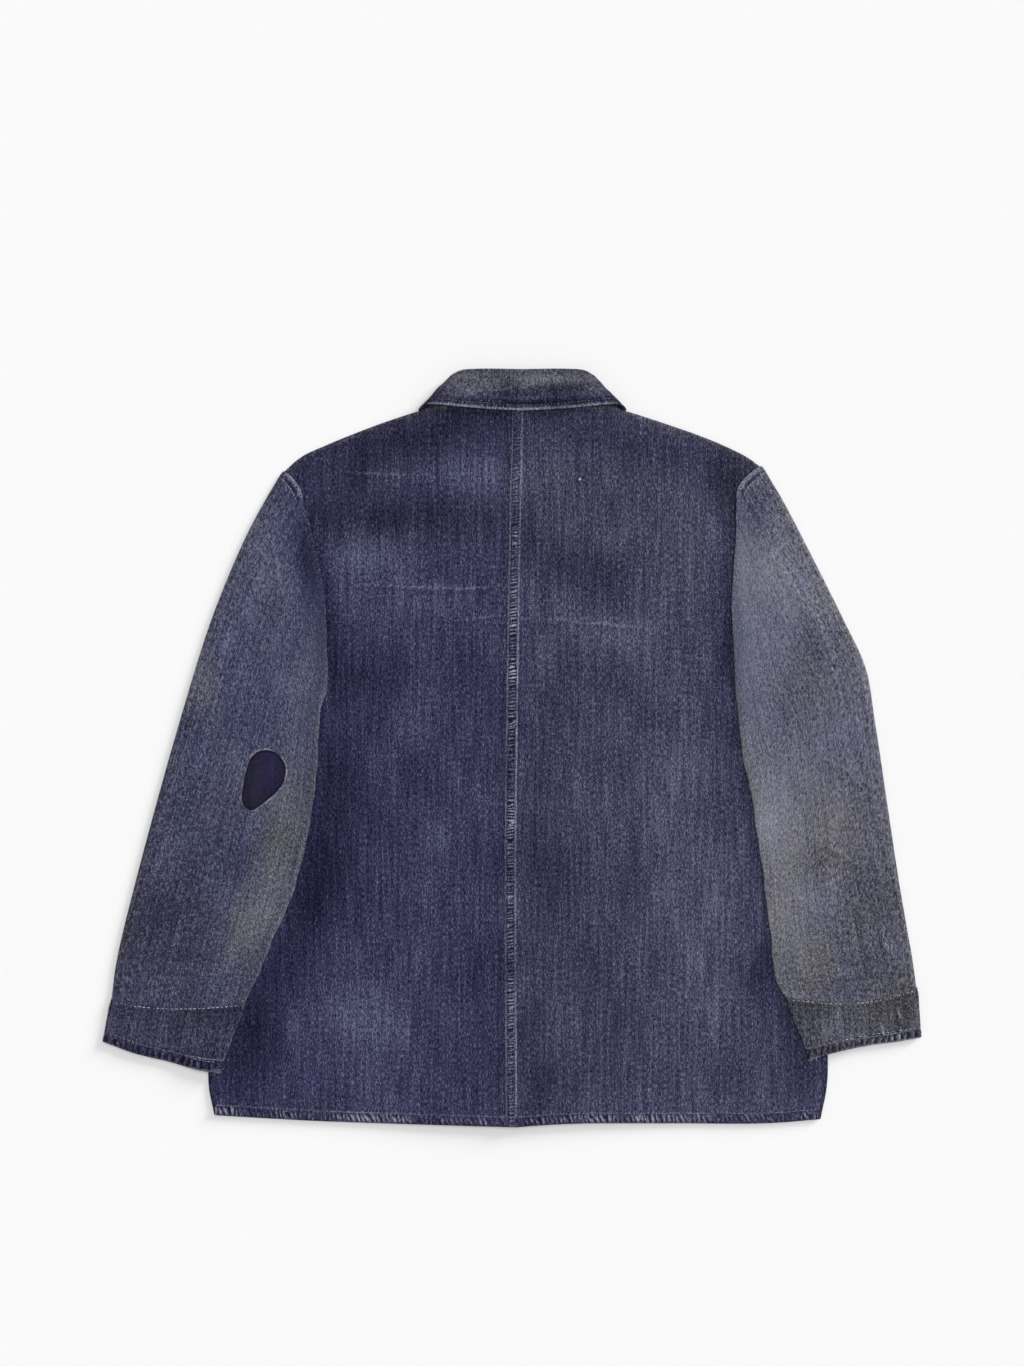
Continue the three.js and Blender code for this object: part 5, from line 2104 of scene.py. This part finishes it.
@dataclass
class Buttons:
    """The five flat buttons of the closed front, each with a sunk middle that is sewn through."""

    finish: Material
    thread: Material
    rows: tuple[float, ...] = (215.0, 105.0, -5.0, -115.0, -225.0)
    sides: int = 48
    thickness: float = 0.32  # of the thread

    # the section from the middle below, round the rim, to the middle above
    PROFILE = (
        (0.0, 0.75), (3.6, 0.75), (4.6, 0.6), (5.6, 0.2), (6.6, 0.05), (7.9, 0.1),
        (8.7, 0.45), (9.0, 1.0), (8.7, 1.6), (7.9, 1.92), (6.0, 1.98), (0.0, 2.0),
    )
    RISE = (0.75, 0.45, 0.3, 0.26, 0.3, 0.45, 0.75)  # of the thread over the sunk middle

    def make(self, name: str, x: float, y: float, z: float) -> Thing:
        """Turn one button at a place.

        Args:
            name: The object's name.
            x, y, z: Its place.

        Returns:
            The button.
        """
        sides = self.sides
        turn = 2 * np.pi * np.arange(sides) / sides
        (_, low), *rims, (_, high) = self.PROFILE
        rings = [np.column_stack([r * np.cos(turn), r * np.sin(turn), np.full(sides, h)]) for r, h in rims]
        points = np.vstack([*rings, [[0, 0, low], [0, 0, high]]]) + [x, y, z]
        faces = cells(len(rings), sides, sides).tolist()
        hub, last = len(rings) * sides, (len(rings) - 1) * sides
        faces += [[hub, (k + 1) % sides, k] for k in range(sides)]
        faces += [[hub + 1, last + k, last + (k + 1) % sides] for k in range(sides)]
        return make_mesh(name, points, faces, self.finish)

    def sewn(self, name: str, x: float, y: float, z: float) -> Thing:
        """Lay the thread over a button's outer face.

        Args:
            name: The object's name.
            x, y, z: The button's place.

        Returns:
            The thread.
        """
        lines = []
        for k, side in enumerate((-2.4, 2.4, -2.1, 2.1)):
            rise = np.array(self.RISE) + 0.05 * (k > 1)
            run = np.linspace(-2.6, 2.6, len(rise))
            lines.append(np.column_stack([x + run, np.full(len(rise), y + side), z + rise]))
        return threads(name, lines, self.thickness, self.thread)

    def pieces(self) -> list[Piece]:
        """Make all five buttons.

        Returns:
            Their pieces.
        """
        made = []
        for k, row in enumerate(self.rows, 1):
            x = float(LAYERS.middle_at(row))
            z = float(LAYERS.neck_lift(np.array(x), np.array(row)))
            sewn = self.sewn(f"button_thread_{k}", x, row, z)
            button = self.make(f"button_horn_{k}", x, row, z)
            made.append(Piece(button, "button_horn", f"button_{k}", sewing=[sewn]))
        return made


@dataclass
class Sewing:
    """All rows of stitching, and the loose threads of frayed corners."""

    thread: Material

    def rows(
        self, name: str, seams: list[Seam], rng: Rng, carrier: Thing
    ) -> Thing:
        """Sew rows of stitches onto a piece as one object.

        Args:
            name: The object's name.
            seams: The rows.
            rng: The source of the stitches' differences.
            carrier: What they are sewn onto.

        Returns:
            The stitches' object.
        """
        surface = Surface(carrier)
        lines = [line for seam in seams for line in seam.stitches(surface, rng)]
        return threads(name, lines, seams[0].thread, self.thread)

    def frayed(
        self,
        name: str,
        place: tuple[float, float, float, float],
        rng: Rng,
        carrier: Thing,
        count: int,
        spread: float = 2.0,
        thread: float = 0.24,
    ) -> Thing:
        """Scatter short loose threads at a frayed place.

        Args:
            name: The object's name.
            place: Its x and y, and the direction in which its threads point.
            rng: The source of their differences.
            carrier: The piece that they come out of.
            count: How many threads it has.
            spread: How far apart they start.
            thread: How thick they are.

        Returns:
            The threads' object.
        """
        surface, lines = Surface(carrier), []
        x, y, dx, dy = place
        t = np.linspace(0, 1, 6)
        for _ in range(count):
            px, py = x + rng.normal(0, spread), y + rng.normal(0, 0.7 * spread)
            hit = surface.drop(px, py)
            if hit is None:
                continue
            way = unit(np.array([dx + rng.normal(0, 0.5), dy + rng.normal(0, 0.5), 0.0]))
            size, bend = rng.uniform(1.8, 4.2), rng.normal(0, 0.5)
            line = hit[0][None] + way[None] * (t * size)[:, None]
            line[:, 0] -= way[1] * bend * t**2 * size
            line[:, 1] += way[0] * bend * t**2 * size
            line[:, 2] += 0.1 + 0.5 * np.sin(np.pi * t) - 1.2 * t**2
            lines.append(line)
        return threads(name, lines, thread, self.thread, 4)


@dataclass(frozen=True)
class Sun:
    """A soft light from far away."""

    name: str
    strength: float
    place: tuple[float, float, float]  # the direction that it comes from
    softness: float  # in degrees

    def hang(self) -> None:
        """Add the light to the scene."""
        lamp = bpy.data.lights.new(self.name, "SUN")
        lamp.energy = self.strength
        lamp.angle = math.radians(self.softness)
        made = bpy.data.objects.new(self.name, lamp)
        made.location = self.place
        made.rotation_euler = (-Vector(self.place)).to_track_quat("-Z", "Y").to_euler()
        bpy.context.scene.collection.objects.link(made)


@dataclass
class Stage:
    """The pale floor, the soft light and the camera straight above, in metres."""

    distance: float = 3.0
    frame_height: float = 1.366
    middle: tuple[float, float] = (0.0, 0.0645)
    floor_half: float = 6.0
    floor_height: float = -0.0002
    surround: float = 0.32
    suns: tuple[Sun, ...] = (
        Sun("key", 2.5, (1.5, 1.2, 0.65), 22.0),
        Sun("overhead", 1.45, (0.25, 0.3, 2.0), 40.0),
    )

    def floor(self) -> None:
        """Lay the floor under the jacket."""
        size = self.floor_half
        mesh = bpy.data.meshes.new("floor")
        corners = [(-size, -size, 0), (size, -size, 0), (size, size, 0), (-size, size, 0)]
        mesh.from_pydata(corners, [], [(0, 1, 2, 3)])
        mesh.materials.append(Paper("studio_paper").material())
        made = bpy.data.objects.new("floor", mesh)
        made.location.z = self.floor_height
        bpy.context.scene.collection.objects.link(made)

    def lights(self) -> None:
        """Add an even surround, a soft light from the upper right and a wide one overhead."""
        world = bpy.data.worlds.new("studio")
        world.use_nodes = True
        shade = next(n for n in world.node_tree.nodes if n.type == "BACKGROUND")
        shade.inputs["Color"].default_value = (1.0, 1.0, 1.0, 1.0)
        shade.inputs["Strength"].default_value = self.surround
        bpy.context.scene.world = world
        for sun in self.suns:
            sun.hang()

    def camera(self) -> None:
        """Hang the camera straight above, framing the photograph's 1024 by 1366."""
        lens = bpy.data.cameras.new("camera")
        lens.sensor_fit = "AUTO"
        lens.lens = lens.sensor_width * self.distance / self.frame_height
        made = bpy.data.objects.new("camera", lens)
        made.location = (*self.middle, self.distance)
        bpy.context.scene.collection.objects.link(made)
        bpy.context.scene.camera = made
        bpy.context.scene.view_settings.view_transform = "Standard"

    def build(self) -> None:
        """Make the whole stage."""
        self.floor()
        self.lights()
        self.camera()


@dataclass
class Jacket:
    """The whole jacket, made piece by piece."""

    seed: int = 7

    # each row's pitch, its stitches' length and their thickness
    FELL, HEM, HEAD = (3.1, 2.5, 0.42), (4.2, 3.3, 0.42), (3.4, 2.6, 0.4)
    CUFF, PATCH, COLLAR = (4.6, 3.7, 0.55), (3.0, 2.3, 0.24), (3.4, 2.5, 0.34)
    FELL_ROWS = (0.8, 9.2)  # the felled seam's rows beside its line
    LINT = (67, 266.0, 0.2, 1.0)  # where it sits and which way it points

    def finishes(self) -> dict[str, Material]:
        """Make every finish once.

        Returns:
            The finishes by their names.
        """
        sleeve = {"streak": 0.8, "fleck": 1.3}
        made = {
            "body": Denim("body_indigo", level=0.44),
            "sleeve_left": Denim(
                "sleeve_indigo", level=0.52, grey=0.06, crinkle=0.9,
                mid=srgb(56, 58, 89), shift=(0.7, 0.2, 0), **sleeve,
            ),
            "sleeve_right": Denim(
                "sleeve_grey_indigo", level=0.695, grey=0.32, crinkle=0.95,
                mid=srgb(56, 58, 88), shift=(1.9, 0.4, 0), **sleeve,
            ),
            "cuff_left": Denim("cuff_indigo", level=0.45, grey=0.3, crinkle=0.6, shift=(2.6, 0.1, 0)),
            "cuff_right": Denim("cuff_grey_indigo", level=0.59, grey=0.75, crinkle=0.6, shift=(3.3, 0.6, 0)),
            "collar": Denim(
                "collar_indigo", level=0.51, grey=0.1, fleck=1.3, crinkle=0.8, shift=(4.1, 0.3, 0)
            ),
            "patch": Denim(
                "patch_dark_indigo", level=0.3, streak=0.4, fleck=0.5, cloud=0.2,
                deep=srgb(20, 17, 34), mid=srgb(44, 40, 72), faded=srgb(70, 66, 100),
            ),
            "thread": Thread("old_thread"),
            "worn_thread": Thread("worn_thread", srgb(122, 120, 140), srgb(66, 64, 88)),
            "dark_thread": Thread("dark_thread", srgb(40, 37, 60), srgb(20, 18, 34)),
            "lint": Thread("pale_lint", srgb(236, 236, 240), srgb(200, 200, 208)),
            "horn": Horn("dark_horn"),
        }
        return {name: finish.material() for name, finish in made.items()}

    def body(self, finish: dict[str, Material], rng: Rng) -> list[Piece]:
        """Make the backs and fronts with their seams and hems.

        Args:
            finish: The finishes by their names.
            rng: The source of all small differences.

        Returns:
            The four pieces.
        """
        sewing, worn, lint = (Sewing(finish[name]) for name in ("thread", "worn_thread", "lint"))
        body = Body(finish["body"])
        back = {side.sign: body.back(side) for side in (LEFT, RIGHT)}
        front = {side.sign: body.front(side) for side in (LEFT, RIGHT)}
        fell, hem = body.felled_seam(rng), body.hem(rng)
        rows = [Seam(LAYERS.fell.beside(d), *self.FELL) for d in self.FELL_ROWS]
        back[-1].sewing = [fell, worn.rows("stitches_felled_seam", rows, rng, fell)]
        rows = [Seam(self.up(body.hem_line(), body.hem_stitches), *self.HEM)]
        back[1].sewing = [hem, worn.rows("stitches_hem_back", rows, rng, hem)]
        back[1].sewing.append(lint.frayed("lint", self.LINT, rng, back[1].made, 2, 0.15, 0.42))
        for side in (LEFT, RIGHT):
            turned = body.hem(rng, side)
            rows = [Seam(self.up(body.hem_line(side), body.hem_stitches), *self.HEM, below=True)]
            sewn = sewing.rows(f"stitches_hem_front_{side.word()}", rows, rng, turned)
            front[side.sign].sewing = [turned, sewn]
        return [*back.values(), *front.values()]

    def arm(self, side: Side, finish: dict[str, Material], rng: Rng) -> list[Piece]:
        """Make one side's sleeve and cuff, and the left one's patch.

        Args:
            side: The side.
            finish: The finishes by their names.
            rng: The source of all small differences.

        Returns:
            The pieces.
        """
        sewing, dull, worn = (Sewing(finish[name]) for name in ("thread", "dark_thread", "worn_thread"))
        word = side.word()
        sleeve = Sleeve(side, finish[f"sleeve_{word}"])
        made = sleeve.piece()
        rows = [Seam(line, *self.HEAD, lost=0.06) for line in sleeve.seam_lines()]
        made.sewing.append(sewing.rows(f"stitches_head_{word}", rows, rng, made.made))
        cuff = Cuff(side, finish[f"cuff_{word}"])
        band = cuff.piece(rng)
        edging = worn if side is LEFT else sewing
        for line, sewn, place in zip(cuff.seam_lines(), (sewing, edging), ("seam", "edge")):
            rows = [Seam(line, *self.CUFF, lost=0.07, below=low) for low in (False, True)]
            band.sewing.append(sewn.rows(f"stitches_cuff_{place}_{word}", rows, rng, band.made))
        x, y = side.cuff_edge[-1]
        corner = (x + side.sign * 2.5, y + 1.5, -side.sign * 0.5, -1.0)
        band.sewing.append(sewing.frayed(f"frayed_cuff_{word}", corner, rng, band.made, 46))
        if side is RIGHT:
            return [made, band]
        patch = Patch(finish["patch"]).piece(made.made)
        line = Line(Patch.outline().points).beside(-Patch.STITCHED)
        patch.sewing.append(dull.rows("stitches_patch", [Seam(line, *self.PATCH)], rng, patch.made))
        return [made, band, patch]

    def build(self) -> list[Piece]:
        """Make every piece and its sewing.

        Returns:
            The pieces, ready to be declared.
        """
        rng = np.random.default_rng(self.seed)
        finish = self.finishes()
        pieces = self.body(finish, rng)
        for side in (LEFT, RIGHT):
            pieces += self.arm(side, finish, rng)
        collar = Collar(finish["collar"])
        band = collar.piece(rng)
        rows = [Seam(collar.seam_line(), *self.COLLAR)]
        band.sewing.append(Sewing(finish["worn_thread"]).rows("stitches_collar", rows, rng, band.made))
        return [*pieces, band, *Buttons(finish["horn"], finish["thread"]).pieces()]

    @staticmethod
    def up(line: Line, distance: float) -> Line:
        """Return a line moved up the jacket by a distance."""
        return line.beside(distance if line.across(np.array(0.5))[1] > 0 else -distance)


def main() -> None:
    """Build the jacket on its stage, and ride each piece on the frame."""
    logging.basicConfig(level=logging.INFO, format="%(message)s")
    Stage().build()
    for piece in Jacket().build():
        piece.declare()


if __name__ == "__main__":
    main()
